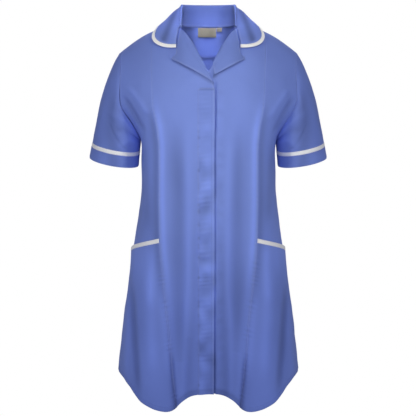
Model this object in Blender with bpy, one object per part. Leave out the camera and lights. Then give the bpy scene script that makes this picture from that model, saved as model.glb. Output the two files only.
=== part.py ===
"""Short-sleeved maternity tunic, filled out and hollow, as one closed wall per cut piece.

Metres, +Z up, the front faces -Y. The origin is the middle of the neck opening, level with the
neck ends of the shoulders, where whatever wears the tunic holds it up.
"""
import math

import bpy
from mathutils import Vector
from mathutils.bvhtree import BVHTree

WALL = 0.0015            # one layer of cloth
OVERLAY = 0.0012         # a layer that lies on another
GAP = 0.0004             # between neighbouring pieces
TRIM_WIDTH = 0.0085      # white binding on collar, sleeves and pockets
CUFF_DEPTH = 0.0255
PLACKET_EDGE = 0.0155    # the fastening edge passes the centre front by this
PLACKET_STITCH = 0.0223  # the other side of the placket
UNDERLAP = 0.0021        # the under front lies this far behind the over front
MOUTH_STANDS_OFF = 0.0028  # the pocket mouth gapes by this
COLLAR_WALL, COLLAR_END_WALL = 0.0018, 0.0010
COLLAR_TRIM_WALL = 0.0024
COLLAR_CLEAR = 0.0048    # outer side of the collar over the body
COLLAR_CROWN = 0.0030
LAPEL_WALL = 0.0018
LAPEL_CLEAR, LAPEL_RISE = 0.0009, 0.0022
SLEEVE_TRIM_WALL, CUFF_WALL = 0.0022, 0.0024
POCKET_TRIM_WALL = 0.0018
TRIM_PROUD = 0.0004      # bindings and cuffs stand out of the cloth by this
FACING_WALL = 0.0010
LABEL_WALL, LABEL_CLEAR = 0.0010, 0.0012

BLUE = (0.130, 0.185, 0.560)
WHITE = (0.780, 0.765, 0.800)
GREY = (0.300, 0.300, 0.270)

# Heights of the body below the underarm, one row per section.
SECTION_COLUMNS = ("z", "half_width", "front", "back", "front_square", "back_square",
                   "princess_x", "flute", "trough", "back_flute")
SECTIONS = (
    (-0.262, 0.1455, 0.1370, 0.1060, 3.0, 2.4, 0.1030, 0.000, 0.0000, 0.000),
    (-0.300, 0.1455, 0.1390, 0.1030, 3.0, 2.4, 0.1028, 0.000, 0.0010, 0.000),
    (-0.340, 0.1456, 0.1420, 0.0980, 2.9, 2.4, 0.1030, 0.000, 0.0030, 0.000),
    (-0.380, 0.1466, 0.1450, 0.0945, 2.8, 2.4, 0.1032, 0.000, 0.0045, 0.001),
    (-0.420, 0.1518, 0.1480, 0.0945, 2.6, 2.4, 0.1026, 0.000, 0.0055, 0.002),
    (-0.460, 0.1573, 0.1500, 0.0990, 2.6, 2.4, 0.1012, 0.000, 0.0060, 0.003),
    (-0.500, 0.1640, 0.1510, 0.1060, 2.5, 2.4, 0.0985, 0.001, 0.0060, 0.004),
    (-0.550, 0.1695, 0.1510, 0.1130, 2.5, 2.4, 0.0932, 0.005, 0.0060, 0.006),
    (-0.600, 0.1770, 0.1500, 0.1190, 2.4, 2.3, 0.0868, 0.011, 0.0050, 0.008),
    (-0.650, 0.1852, 0.1480, 0.1240, 2.4, 2.3, 0.0805, 0.019, 0.0040, 0.010),
    (-0.700, 0.1908, 0.1450, 0.1280, 2.3, 2.3, 0.0768, 0.028, 0.0030, 0.012),
    (-0.750, 0.1968, 0.1400, 0.1320, 2.3, 2.3, 0.0728, 0.037, 0.0020, 0.014),
    (-0.800, 0.2000, 0.1360, 0.1350, 2.3, 2.3, 0.0668, 0.044, 0.0000, 0.016),
    (-0.830, 0.2010, 0.1340, 0.1360, 2.3, 2.3, 0.0636, 0.047, 0.0000, 0.017),
)

# Front from the shoulder seam (first row) to the underarm line (last row).
# Columns: neck and fastening edge, princess seam, armhole, each x y z.
FRONT_LEVELS = (
    (0.0640, 0.0000, -0.0140, 0.1228, 0.0000, -0.0310, 0.1905, 0.0000, -0.0755),
    (0.0630, -0.0150, -0.0160, 0.1228, -0.0150, -0.0370, 0.1897, -0.0140, -0.0800),
    (0.0610, -0.0290, -0.0195, 0.1227, -0.0290, -0.0460, 0.1887, -0.0270, -0.0890),
    (0.0583, -0.0400, -0.0246, 0.1223, -0.0430, -0.0580, 0.1876, -0.0385, -0.1020),
    (0.0450, -0.0600, -0.0400, 0.1215, -0.0590, -0.0740, 0.1869, -0.0480, -0.1180),
    (0.0340, -0.0775, -0.0560, 0.1207, -0.0745, -0.0930, 0.1872, -0.0545, -0.1360),
    (0.0215, -0.0940, -0.0780, 0.1199, -0.0890, -0.1150, 0.1881, -0.0590, -0.1540),
    (0.0085, -0.1090, -0.1010, 0.1190, -0.0995, -0.1400, 0.1880, -0.0608, -0.1720),
    (-0.0030, -0.1200, -0.1200, 0.1178, -0.1075, -0.1630, 0.1855, -0.0605, -0.1874),
    (-0.0133, -0.1285, -0.1480, 0.1160, -0.1135, -0.1850, 0.1775, -0.0580, -0.2030),
    (-0.0145, -0.1325, -0.1800, 0.1118, -0.1172, -0.2060, 0.1665, -0.0520, -0.2200),
    (-0.0152, -0.1350, -0.2130, 0.1070, -0.1190, -0.2280, 0.1560, -0.0400, -0.2390),
    (-0.0155, -0.1365, -0.2470, 0.1042, -0.1197, -0.2530, 0.1485, -0.0210, -0.2550),
)

# Back in the same way. Columns: centre, column below the neck point, armhole.
BACK_LEVELS = (
    (0.0, 0.0655, -0.0196, 0.0640, 0.0000, -0.0140, 0.1905, 0.0000, -0.0755),
    (0.0, 0.0680, -0.0290, 0.0665, 0.0150, -0.0215, 0.1899, 0.0145, -0.0805),
    (0.0, 0.0710, -0.0400, 0.0690, 0.0290, -0.0320, 0.1890, 0.0285, -0.0900),
    (0.0, 0.0745, -0.0530, 0.0715, 0.0415, -0.0460, 0.1878, 0.0405, -0.1040),
    (0.0, 0.0785, -0.0680, 0.0740, 0.0525, -0.0630, 0.1866, 0.0500, -0.1200),
    (0.0, 0.0830, -0.0850, 0.0765, 0.0620, -0.0820, 0.1856, 0.0565, -0.1380),
    (0.0, 0.0870, -0.1040, 0.0790, 0.0700, -0.1030, 0.1848, 0.0610, -0.1560),
    (0.0, 0.0910, -0.1250, 0.0810, 0.0765, -0.1260, 0.1838, 0.0630, -0.1740),
    (0.0, 0.0945, -0.1470, 0.0830, 0.0815, -0.1490, 0.1815, 0.0630, -0.1900),
    (0.0, 0.0975, -0.1700, 0.0845, 0.0855, -0.1730, 0.1760, 0.0605, -0.2050),
    (0.0, 0.1005, -0.1950, 0.0860, 0.0885, -0.1980, 0.1670, 0.0540, -0.2215),
    (0.0, 0.1030, -0.2220, 0.0872, 0.0905, -0.2240, 0.1570, 0.0415, -0.2390),
    (0.0, 0.1050, -0.2500, 0.0880, 0.0915, -0.2520, 0.1492, 0.0220, -0.2550),
)

# Hem of a side front from the princess seam to the side seam.
HEM_COLUMNS = ("across", "z")
SIDE_HEM = (
    (0.00, -0.8205), (0.03, -0.8245), (0.08, -0.8240), (0.16, -0.8200), (0.22, -0.8152),
    (0.28, -0.8075), (0.35, -0.7935), (0.42, -0.7800), (0.49, -0.7715), (0.56, -0.7672),
    (0.70, -0.7655), (0.85, -0.7665), (1.00, -0.7690),
)

# How the sleeve leaves the armhole, by the way round from the shoulder to the underarm.
SLEEVE_COLUMNS = ("round", "out", "forward", "down")
SLEEVE_START = (
    (0.00, 0.130, 0.000, 0.200),
    (0.20, 0.110, 0.010, 0.170),
    (0.45, 0.065, 0.022, 0.130),
    (0.65, 0.032, 0.034, 0.080),
    (0.80, 0.015, 0.030, 0.050),
    (0.93, 0.006, 0.010, 0.035),
    (1.00, 0.004, 0.000, 0.030),
)
CUFF_CENTRE = (0.2056, 0.0, -0.3105)
CUFF_HALF_WIDTH, CUFF_HALF_DEPTH = 0.0535, 0.0560
CUFF_OUTER_RISE, CUFF_FRONT_DROP = 0.0095, 0.0055
SLEEVE_ROWS = 8

# Collar from the centre back to its front end. Columns: neck seam, roll, outer edge, each x y z.
COLLAR = (
    (0.0000, 0.0655, -0.0196, 0.0000, 0.0700, 0.0292, 0.0000, 0.0860, -0.0340),
    (0.0220, 0.0615, -0.0193, 0.0220, 0.0660, 0.0292, 0.0330, 0.0830, -0.0340),
    (0.0430, 0.0490, -0.0185, 0.0400, 0.0525, 0.0290, 0.0660, 0.0700, -0.0330),
    (0.0575, 0.0300, -0.0170, 0.0535, 0.0330, 0.0286, 0.0910, 0.0480, -0.0300),
    (0.0640, 0.0080, -0.0145, 0.0578, 0.0130, 0.0272, 0.1060, 0.0200, -0.0225),
    (0.0638, -0.0060, -0.0145, 0.0590, -0.0010, 0.0150, 0.1145, -0.0080, -0.0255),
    (0.0622, -0.0210, -0.0170, 0.0590, -0.0140, 0.0030, 0.1195, -0.0300, -0.0420),
    (0.0605, -0.0310, -0.0205, 0.0590, -0.0240, -0.0060, 0.1110, -0.0520, -0.0570),
    (0.0593, -0.0370, -0.0230, 0.0588, -0.0320, -0.0130, 0.0900, -0.0700, -0.0645),
    (0.0583, -0.0400, -0.0246, 0.0583, -0.0385, -0.0180, 0.0675, -0.0790, -0.0650),
)
COLLAR_STEPS = 16
ROLL_RADIUS = 0.0028
STAND_INSIDE = 0.0024    # the stand starts this far inside the neck seam
ROLL_ROW = 4             # the collar's grid row along the top of the roll

# Lapels from the collar to the fastening. Columns: where along the front's neck edge a row starts,
# by its level, and the x and z where it ends.
LAPEL = (
    (3.25, 0.0585, -0.0310),
    (3.60, 0.0609, -0.0450),
    (4.00, 0.0636, -0.0605),
    (4.40, 0.0652, -0.0700),
    (4.85, 0.0670, -0.0810),
    (5.40, 0.0746, -0.0894),
    (5.90, 0.0600, -0.0971),
    (6.40, 0.0390, -0.1082),
    (7.00, 0.0180, -0.1192),
    (7.50, 0.0070, -0.1250),
    (8.00, 0.0010, -0.1285),
    (8.30, -0.0040, -0.1312),
    (8.60, -0.0084, -0.1368),
)
# The under lapel ends earlier, where the over front covers it.
LAPEL_LEFT_ROWS = LAPEL[:8] + ((6.90, 0.0130, -0.1218),)
LAPEL_STEPS = 4

# Labels inside the back neck. Columns: name, left, right, top, bottom, steps across.
LABELS = (
    ("label", -0.0226, 0.0176, -0.0207, -0.0411, 4),
    ("size_label", 0.0189, 0.0300, -0.0204, -0.0291, 1),
)
FACING_ROWS, FACING_REACH = 6, 6

ROWS_ABOVE_POCKET, ROWS_BELOW_POCKET = 5, 10
CENTRE_STEPS = (0.24, 0.48, 0.70, 0.89, 1.0)
SIDE_STEPS = (0.0, 0.06, 0.16, 0.28, 0.42, 0.56, 0.70, 0.85, 1.0)
BACK_NECK_STEPS, BACK_SIDE_STEPS = 4, 8
BACK_NECK_SHARE = 0.45


def smooth(rows, x, column):
    """Cubic through one column of a table whose first column is the key."""
    up = rows[-1][0] > rows[0][0]
    last = len(rows) - 2
    i = 0
    while i < last and ((x > rows[i + 1][0]) if up else (x < rows[i + 1][0])):
        i += 1
    x0, x1 = rows[i][0], rows[i + 1][0]
    y0, y1 = rows[i][column], rows[i + 1][column]
    u = min(1.0, max(0.0, (x - x0) / (x1 - x0)))
    slope = (y1 - y0) / (x1 - x0)
    before = (y1 - rows[i - 1][column]) / (x1 - rows[i - 1][0]) if i > 0 else slope
    after = (rows[i + 2][column] - y0) / (rows[i + 2][0] - x0) if i < last else slope
    return hermite(y0, y1, before * (x1 - x0), after * (x1 - x0), u)


def size(name, z):
    return smooth(SECTIONS, z, SECTION_COLUMNS.index(name))


def sleeve_way(name, round_share):
    return smooth(SLEEVE_START, round_share, SLEEVE_COLUMNS.index(name))


def hermite(p0, p1, t0, t1, u):
    return (p0 * (2 * u ** 3 - 3 * u * u + 1) + t0 * (u ** 3 - 2 * u * u + u)
            + p1 * (3 * u * u - 2 * u ** 3) + t1 * (u ** 3 - u * u))


def ease(low, high, x):
    u = min(1.0, max(0.0, (x - low) / (high - low)))
    return u * u * (3 - 2 * u)


def hump(x, middle, before, after):
    width = before if x < middle else after
    return math.exp(-((x - middle) / width) ** 2)


def quarter(z, back):
    """Points of a quarter section from the centre to the side, with the way along to each."""
    a = size("half_width", z)
    d = size("back" if back else "front", z)
    power = 2.0 / size("back_square" if back else "front_square", z)
    steps = 60
    points, way = [], []
    for i in range(steps + 1):
        angle = 0.5 * math.pi * i / steps
        point = (a * math.sin(angle) ** power, d * max(0.0, math.cos(angle)) ** power)
        way.append(0.0 if i == 0 else way[-1] + math.dist(point, points[-1]))
        points.append(point)
    return points, way


def share_of_x(z, x):
    """How far round the front quarter a given x lies."""
    points, way = quarter(z, False)
    for i in range(1, len(points)):
        if points[i][0] >= abs(x):
            part = (abs(x) - points[i - 1][0]) / (points[i][0] - points[i - 1][0])
            return math.copysign((way[i - 1] + part * (way[i] - way[i - 1])) / way[-1], x)
    return 1.0


def section_point(z, back, share):
    """A point of the filled-out body, its soft folds included."""
    points, way = quarter(z, back)
    target = min(abs(share), 1.0) * way[-1]
    i = 1
    while i < len(way) - 1 and way[i] < target:
        i += 1
    part = (target - way[i - 1]) / (way[i] - way[i - 1])
    (x0, y0), (x1, y1) = points[i - 1], points[i]
    x, y = x0 + part * (x1 - x0), y0 + part * (y1 - y0)
    away = Vector((y0 - y1, x1 - x0)).normalized()
    calm = 1.0 - ease(0.80, 1.0, abs(share))
    if back:
        lift = size("back_flute", z) * (hump(target, 0.080, 0.035, 0.035)
                                        + 0.9 * hump(target, 0.165, 0.032, 0.032)
                                        - 0.5 * hump(target, 0.0, 0.03, 0.03))
    else:
        seam = share_of_x(z, size("princess_x", z)) * way[-1]
        lift = size("flute", z) * hump(target, seam + 0.045, 0.061, 0.078)
        lift -= size("trough", z) * hump(target, 0.052, 0.026, 0.026)
        lift -= 0.10 * size("flute", z) * hump(target, seam, 0.010, 0.010)
    lift *= calm
    x, y = x + away.x * lift, y + away.y * lift
    return Vector((math.copysign(x, share) if share else x, y if back else -y, z))


# The lines that the rows of cloth follow below the underarm, by panel and way across it.
def underarm_line(panel, u):
    return -0.280 if panel == "centre" else -0.280 + 0.016 * u * u


def mouth_line(panel, u):
    if panel == "centre":
        return -0.4604
    return -0.4604 - 0.0418 * u if panel == "side" else -0.4800 - 0.0222 * u * u


def trim_line(panel, u):
    return mouth_line(panel, u) - TRIM_WIDTH * 1.05


def hem_line(panel, u):
    if panel == "centre":
        return -0.7937 - 0.0268 * u ** 3.2
    if panel == "side":
        return smooth(SIDE_HEM, u, HEM_COLUMNS.index("z"))
    return -0.7850 + 0.0141 * u * u


def skirt_rows():
    rows = [(underarm_line, mouth_line, (i + 1) / ROWS_ABOVE_POCKET)
            for i in range(-1, ROWS_ABOVE_POCKET)]
    rows.append((mouth_line, trim_line, 1.0))
    rows += [(trim_line, hem_line, (i + 1) / ROWS_BELOW_POCKET) for i in range(ROWS_BELOW_POCKET)]
    return rows


MOUTH_ROW = len(FRONT_LEVELS) + ROWS_ABOVE_POCKET
PLACKET_TOP_ROW = 9
PLACKET_COLUMNS = 3


def along_row(row, panel, u):
    upper, lower, part = row
    return upper(panel, u) * (1 - part) + lower(panel, u) * part


def centre_shares(z):
    """Columns of the centre front: the placket's two first, then even steps to the seam."""
    edge, stitch = share_of_x(z, -PLACKET_EDGE), share_of_x(z, PLACKET_STITCH)
    seam = share_of_x(z, size("princess_x", z))
    return [edge, 0.5 * (edge + stitch), stitch] + [stitch + (seam - stitch) * s
                                                    for s in CENTRE_STEPS]


def front_row(row, panel):
    """One row of a front below the underarm."""
    if panel == "centre":
        points = []
        for i in range(3 + len(CENTRE_STEPS)):
            z = along_row(row, panel, 0.0)
            for _ in range(3):
                share = centre_shares(z)[i]
                across = max(0.0, share / centre_shares(z)[-1])
                z = along_row(row, panel, across)
            points.append(section_point(z, False, centre_shares(z)[i]))
        return points
    points = []
    for u in SIDE_STEPS:
        z = along_row(row, panel, u)
        seam = share_of_x(z, size("princess_x", z))
        points.append(section_point(z, False, seam + (1.0 - seam) * u))
    return points


def back_row(row):
    return [section_point(along_row(row, "back", c), True, c) for c in back_shares()]


def back_shares():
    shares = [BACK_NECK_SHARE * i / BACK_NECK_STEPS for i in range(BACK_NECK_STEPS)]
    return shares + [BACK_NECK_SHARE + (1 - BACK_NECK_SHARE) * i / BACK_SIDE_STEPS
                     for i in range(BACK_SIDE_STEPS + 1)]


def split(level):
    return Vector(level[0:3]), Vector(level[3:6]), Vector(level[6:9])


def two_spans(first, middle, last):
    """End tangents of the two spans of a smooth row through three points."""
    d1, d2 = (middle - first).length, (last - middle).length
    way = ((middle - first) / d1 * d2 + (last - middle) / d2 * d1) / (d1 + d2)
    t1, t2 = way * d1, way * d2
    return 1.5 * (middle - first) - 0.5 * t1, t1, t2, 1.5 * (last - middle) - 0.5 * t2


def way_to_x(p0, p1, t0, t1, x):
    """How far along a span it reaches a given x."""
    low, high = 0.0, 1.0
    for _ in range(30):
        u = 0.5 * (low + high)
        low, high = (u, high) if hermite(p0, p1, t0, t1, u).x < x else (low, u)
    return low


def front_grids():
    """Rows of points of the centre front and the side front, shoulder to hem."""
    rows = skirt_rows()
    centre_end, side_end = front_row(rows[0], "centre"), front_row(rows[0], "side")
    last_level = (*centre_end[0], *centre_end[-1], *side_end[-1])

    def shaped(level):
        edge, seam, arm = split(level)
        t0, t1, t2, t3 = two_spans(edge, seam, arm)
        side_row = [hermite(seam, arm, t2, t3, u) for u in SIDE_STEPS]
        if edge.x > 0:
            stitch = max(0.10, (PLACKET_STITCH - edge.x) / (seam.x - edge.x))
            steps = [0.0, 0.5 * stitch, stitch] + [stitch + (1 - stitch) * s
                                                   for s in CENTRE_STEPS]
            return [hermite(edge, seam, t0, t1, u) for u in steps], side_row
        # Past the centre line the row mirrors itself, so that the two fronts lie parallel.
        middle = Vector((0.0, edge.y, edge.z))
        flat = Vector(((seam - middle).length, 0.0, 0.0))
        stitch = way_to_x(middle, seam, flat, t1, PLACKET_STITCH)
        places = [edge.x, 0.5 * (edge.x + PLACKET_STITCH)]
        row = []
        for x in places:
            point = hermite(middle, seam, flat, t1, way_to_x(middle, seam, flat, t1, abs(x)))
            row.append(Vector((math.copysign(point.x, x), point.y, point.z)))
        row += [hermite(middle, seam, flat, t1, stitch + (1 - stitch) * s)
                for s in (0.0, *CENTRE_STEPS)]
        return row, side_row

    last_centre, last_side = shaped(last_level)
    centre, side = [], []
    count = len(FRONT_LEVELS)
    for i, level in enumerate(FRONT_LEVELS):
        part = ease(0.45 * count, count, i)
        row_centre, row_side = shaped(level)
        if i == 0:
            row_centre = [Vector((p.x, 0.0, p.z)) for p in row_centre]
            row_side = [Vector((p.x, 0.0, p.z)) for p in row_side]
        centre.append([p + (e - q) * part for p, e, q in zip(row_centre, centre_end, last_centre)])
        side.append([p + (e - q) * part for p, e, q in zip(row_side, side_end, last_side)])
    for row in rows:
        centre.append(front_row(row, "centre"))
        side.append(front_row(row, "side"))
    return centre, side


def shoulder_height(x):
    """Height of the shoulder seam at a given distance from the centre."""
    edge, seam, arm = split(FRONT_LEVELS[0])
    t0, t1, t2, t3 = two_spans(edge, seam, arm)
    span = (edge, seam, t0, t1) if x < seam.x else (seam, arm, t2, t3)
    return hermite(*span, way_to_x(*span, x)).z


def back_grid():
    """Half of the back, from the centre to the armhole and side seam."""
    rows = skirt_rows()
    end = back_row(rows[0])
    last_level = (*end[0], *end[BACK_NECK_STEPS], *end[-1])
    neck_steps = [i / BACK_NECK_STEPS for i in range(BACK_NECK_STEPS)]
    side_steps = [i / BACK_SIDE_STEPS for i in range(BACK_SIDE_STEPS + 1)]

    def shaped(level, corner):
        centre, neck, arm = split(level)
        t0, t1, t2, t3 = two_spans(centre, neck, arm)
        d1 = (neck - centre).length
        t0 = t0.lerp(Vector((1.25 * d1, 0, 0)), max(corner, 0.6))
        t1 = t1.lerp(Vector((0.0, -1.25 * d1, 0.10 * d1)), corner)
        t2 = t2.lerp(arm - neck, corner)
        return ([hermite(centre, neck, t0, t1, u) for u in neck_steps]
                + [hermite(neck, arm, t2, t3, u) for u in side_steps])

    last_row = shaped(last_level, 0.0)
    grid = []
    count = len(BACK_LEVELS)
    for i, level in enumerate(BACK_LEVELS):
        part = ease(0.45 * count, count, i)
        corner = 1.0 - ease(0.0, 5.0, i)
        grid.append([p + (e - q) * part for p, e, q in zip(shaped(level, corner), end, last_row)])
    for j in range(BACK_NECK_STEPS + 1, len(end) - 1):
        top = Vector((grid[0][j].x, 0.0, shoulder_height(grid[0][j].x)))
        change = top - grid[0][j]
        for i in range(6):
            grid[i][j] += change * (1.0 - ease(0.0, 6.0, i))
    return grid + [back_row(row) for row in rows]


def spread(points, way_from_start):
    """The point a given way along a fine line."""
    left = way_from_start
    for a, b in zip(points, points[1:]):
        step = (b - a).length
        if left <= step:
            return a.lerp(b, max(0.0, left) / step)
        left -= step
    return points[-1].copy()


def sleeve_grid(front_arm, back_arm):
    """Ring of columns from the armhole to the hem of the cuff, shoulder first, front next."""
    ring = list(front_arm) + list(reversed(back_arm))[1:-1]
    half = len(front_arm) - 1
    columns = []
    for i, start in enumerate(ring):
        forward = -1.0 if i <= half else 1.0
        part = (i if i <= half else 2 * half - i) / half
        angle = math.pi * part
        end = Vector(CUFF_CENTRE) + Vector((
            CUFF_HALF_WIDTH * math.cos(angle), forward * CUFF_HALF_DEPTH * math.sin(angle),
            CUFF_OUTER_RISE * math.cos(angle) + forward * CUFF_FRONT_DROP * math.sin(angle)))
        start = start + Vector((GAP * 1.1, 0, 0))
        leave = Vector((sleeve_way("out", part), forward * sleeve_way("forward", part),
                        -sleeve_way("down", part)))
        length = (end - start).length
        arrive = Vector((0.13 + 0.09 * math.cos(angle), 0.0, -1.0)) * length
        fine = [hermite(start, end, leave, arrive, k / 40) for k in range(41)]
        total = sum((b - a).length for a, b in zip(fine, fine[1:]))
        top = total - CUFF_DEPTH - TRIM_WIDTH
        column = [spread(fine, top * k / SLEEVE_ROWS) for k in range(SLEEVE_ROWS + 1)]
        column += [spread(fine, total - CUFF_DEPTH), spread(fine, total - 0.5 * CUFF_DEPTH), end]
        columns.append(column)
    return [[column[k] for column in columns] for k in range(len(columns[0]))]


def grid_normals(grid, closed):
    """Normals of a grid's corners, all turned to the side that make_wall calls outside."""
    rows, cols = len(grid), len(grid[0])
    sums = [[Vector() for _ in range(cols)] for _ in range(rows)]
    for i in range(rows - 1):
        for j in range(cols if closed else cols - 1):
            k = (j + 1) % cols
            normal = (grid[i + 1][k] - grid[i][j]).cross(grid[i + 1][j] - grid[i][k])
            for a, b in ((i, j), (i, k), (i + 1, j), (i + 1, k)):
                sums[a][b] += normal
    return [[v.normalized() for v in row] for row in sums]


def turned_out(normals, i, j, outside):
    if normals[i][j].dot(Vector(outside)) < 0:
        return [[-v for v in row] for row in normals]
    return normals


def share_seam(normals_a, cells_a, normals_b, cells_b):
    """Gives both sides of a seam one direction, so that the walls meet in a mitre."""
    for (i, j), (k, m) in zip(cells_a, cells_b):
        a, b = normals_a[i][j], normals_b[k][m]
        part = ease(-0.1, 0.5, a.dot(b))
        middle = (a + b).normalized() if (a + b).length > 1e-6 else a
        normals_a[i][j] = a.lerp(middle, part).normalized()
        normals_b[k][m] = b.lerp(middle, part).normalized()


def drawn_in(grid, sides, gap):
    """Copies a grid with the named edges moved into it by a gap."""
    rows, cols = len(grid), len(grid[0])
    new = [[p.copy() for p in row] for row in grid]
    for i in range(rows):
        for j in range(cols):
            for side, hit, k, m in (("top", i == 0, 1, j), ("bottom", i == rows - 1, rows - 2, j),
                                    ("first", j == 0, i, 1), ("last", j == cols - 1, i, cols - 2)):
                if hit and side in sides:
                    new[i][j] += (grid[k][m] - grid[i][j]).normalized() * gap
    return new


def moved(grid, normals, distance):
    return [[p + n * (distance(i, j) if callable(distance) else distance)
             for j, (p, n) in enumerate(zip(row, normal_row))]
            for i, (row, normal_row) in enumerate(zip(grid, normals))]


def part_of(grid, rows, cols):
    return [row[cols[0]:cols[1]] for row in grid[rows[0]:rows[1]]]


def make_wall(name, outer, inner, closed, colour):
    """One closed body between two matching grids."""
    rows, cols = len(outer), len(outer[0])
    count = rows * cols
    points = [p for row in outer for p in row] + [p for row in inner for p in row]
    faces = []

    def at(i, j):
        return i * cols + j % cols

    for i in range(rows - 1):
        for j in range(cols if closed else cols - 1):
            a, b, c, d = at(i, j), at(i + 1, j), at(i + 1, j + 1), at(i, j + 1)
            for face in ((a, b, c), (a, c, d)):
                faces.append(face)
                faces.append(tuple(count + k for k in reversed(face)))
    rim = []
    for j in range(cols if closed else cols - 1):
        rim.append((at(0, j), at(0, j + 1)))
        rim.append((at(rows - 1, j + 1), at(rows - 1, j)))
    if not closed:
        for i in range(rows - 1):
            rim.append((at(i + 1, 0), at(i, 0)))
            rim.append((at(i, cols - 1), at(i + 1, cols - 1)))
    faces += [(a, b, count + b, count + a) for a, b in rim]
    first = faces[0]
    across = (points[first[1]] - points[first[0]]).cross(points[first[2]] - points[first[0]])
    if across.dot(points[first[0]] - points[count + first[0]]) < 0:
        faces = [tuple(reversed(face)) for face in faces]
    mesh = bpy.data.meshes.new(name)
    mesh.from_pydata(points, [], faces)
    mesh.update()
    mesh.shade_smooth()
    mesh.set_sharp_from_angle(angle=math.radians(50))
    material = bpy.data.materials.new(name + "_cloth")
    material.use_nodes = True
    shader = material.node_tree.nodes["Principled BSDF"]
    shader.inputs["Base Color"].default_value = (*colour, 1.0)
    shader.inputs["Roughness"].default_value = 0.75
    mesh.materials.append(material)
    item = bpy.data.objects.new(name, mesh)
    bpy.context.collection.objects.link(item)
    return item


def mirrored(grid):
    return [[Vector((-p.x, p.y, p.z)) for p in row] for row in grid]


def wall(name, outer, normals, thickness, sides, colour, closed=False, mirror=False):
    """Builds one piece from its outer points; thickness goes inwards."""
    gap = 0.5 * GAP
    inner = moved(outer, normals, thickness if callable(thickness) else -thickness)
    outer, inner = drawn_in(outer, sides, gap), drawn_in(inner, sides, gap)
    if mirror:
        outer, inner = mirrored(outer), mirrored(inner)
    return make_wall(name, outer, inner, closed, colour)


def surface_of(grids):
    """Search tree over outer surfaces, each a grid."""
    points, faces = [], []
    for grid in grids:
        base, cols = len(points), len(grid[0])
        points += [p for row in grid for p in row]
        for i in range(len(grid) - 1):
            for j in range(cols - 1):
                a = base + i * cols + j
                faces.append((a, a + cols, a + cols + 1, a + 1))
    return BVHTree.FromPolygons(points, faces)


def lifted(point, tree, clear):
    """Moves a point out until it is at least this clear of the body's outside."""
    near, normal, _, _ = tree.find_nearest(point)
    if near is None:
        return point
    outward = Vector((near.x, near.y, 0.06))
    if normal.dot(outward) < 0:
        normal = -normal
    height = (point - near).dot(normal)
    return point + normal * (clear - height) if height < clear else point


def collar_grid(tree):
    """Half of the collar: neck edge, stand, roll and fall, in columns from the centre back."""
    columns = []
    keyed = [(k, *row) for k, row in enumerate(COLLAR)]
    for k in range(COLLAR_STEPS + 1):
        key = (len(COLLAR) - 1) * k / COLLAR_STEPS
        values = [smooth(keyed, key, c) for c in range(1, 10)]
        neck, roll, edge = Vector(values[0:3]), Vector(values[3:6]), Vector(values[6:9])
        ahead = [smooth(keyed, min(key + 0.1, len(COLLAR) - 1), c) for c in (1, 2)]
        behind = [smooth(keyed, max(key - 0.1, 0.0), c) for c in (1, 2)]
        flat = Vector((behind[1] - ahead[1], ahead[0] - behind[0], 0)).normalized()
        inner = neck.copy()
        inner.z += 0.0008
        inner -= flat * STAND_INSIDE
        shoulder = roll - flat * ROLL_RADIUS
        shoulder.z -= ROLL_RADIUS
        turn = roll + flat * ROLL_RADIUS
        turn.z -= ROLL_RADIUS
        column = [inner, inner.lerp(shoulder, 0.5), shoulder]
        column += [roll - flat * 0.7 * ROLL_RADIUS - Vector((0, 0, 0.3 * ROLL_RADIUS)), roll,
                   roll + flat * 0.7 * ROLL_RADIUS - Vector((0, 0, 0.3 * ROLL_RADIUS)), turn]
        fall = (edge - turn).length
        lift = (flat + Vector((0, 0, 0.8))).normalized()
        for stop in (0.22, 0.45, 0.68, 1.0 - TRIM_WIDTH / fall, 1.0):
            point = turn.lerp(edge, stop) + lift * COLLAR_CROWN * math.sin(math.pi * stop)
            column.append(lifted(point, tree, COLLAR_CLEAR))
        columns.append(column)
    return [[column[r] for column in columns] for r in range(len(columns[0]))]


def both_halves(grid):
    """A half grid whose first column is on the centre line, made whole."""
    return [[Vector((-p.x, p.y, p.z)) for p in reversed(row[1:])] + row for row in grid]


def lapel_grids(front, normals, tree, rows):
    """Visible side of a lapel and the side that lies over the front."""
    top, under = [], []
    for level, edge_x, edge_z in rows:
        low = int(level)
        part = level - low
        start = front[low][0].lerp(front[low + 1][0], part)
        lift = normals[low][0].lerp(normals[low + 1][0], part).normalized()
        top_row, under_row = [], []
        end = Vector((edge_x, start.y, edge_z))
        width = min(1.0, (end - start).length / 0.03)
        for k in range(LAPEL_STEPS + 1):
            u = k / LAPEL_STEPS
            point = start.lerp(end, u)
            if k:
                before = Vector((point.x, -0.6, point.z))
                point, lift, _, _ = tree.ray_cast(before, Vector((0, 1, 0)))
            if lift.y > 0:
                lift = -lift
            stand = LAPEL_CLEAR + LAPEL_RISE * math.sin(0.5 * math.pi * u) * width
            under_row.append(point + lift * stand)
            top_row.append(point + lift * (stand + LAPEL_WALL))
        top.append(top_row)
        under.append(under_row)
    return top, under


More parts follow.
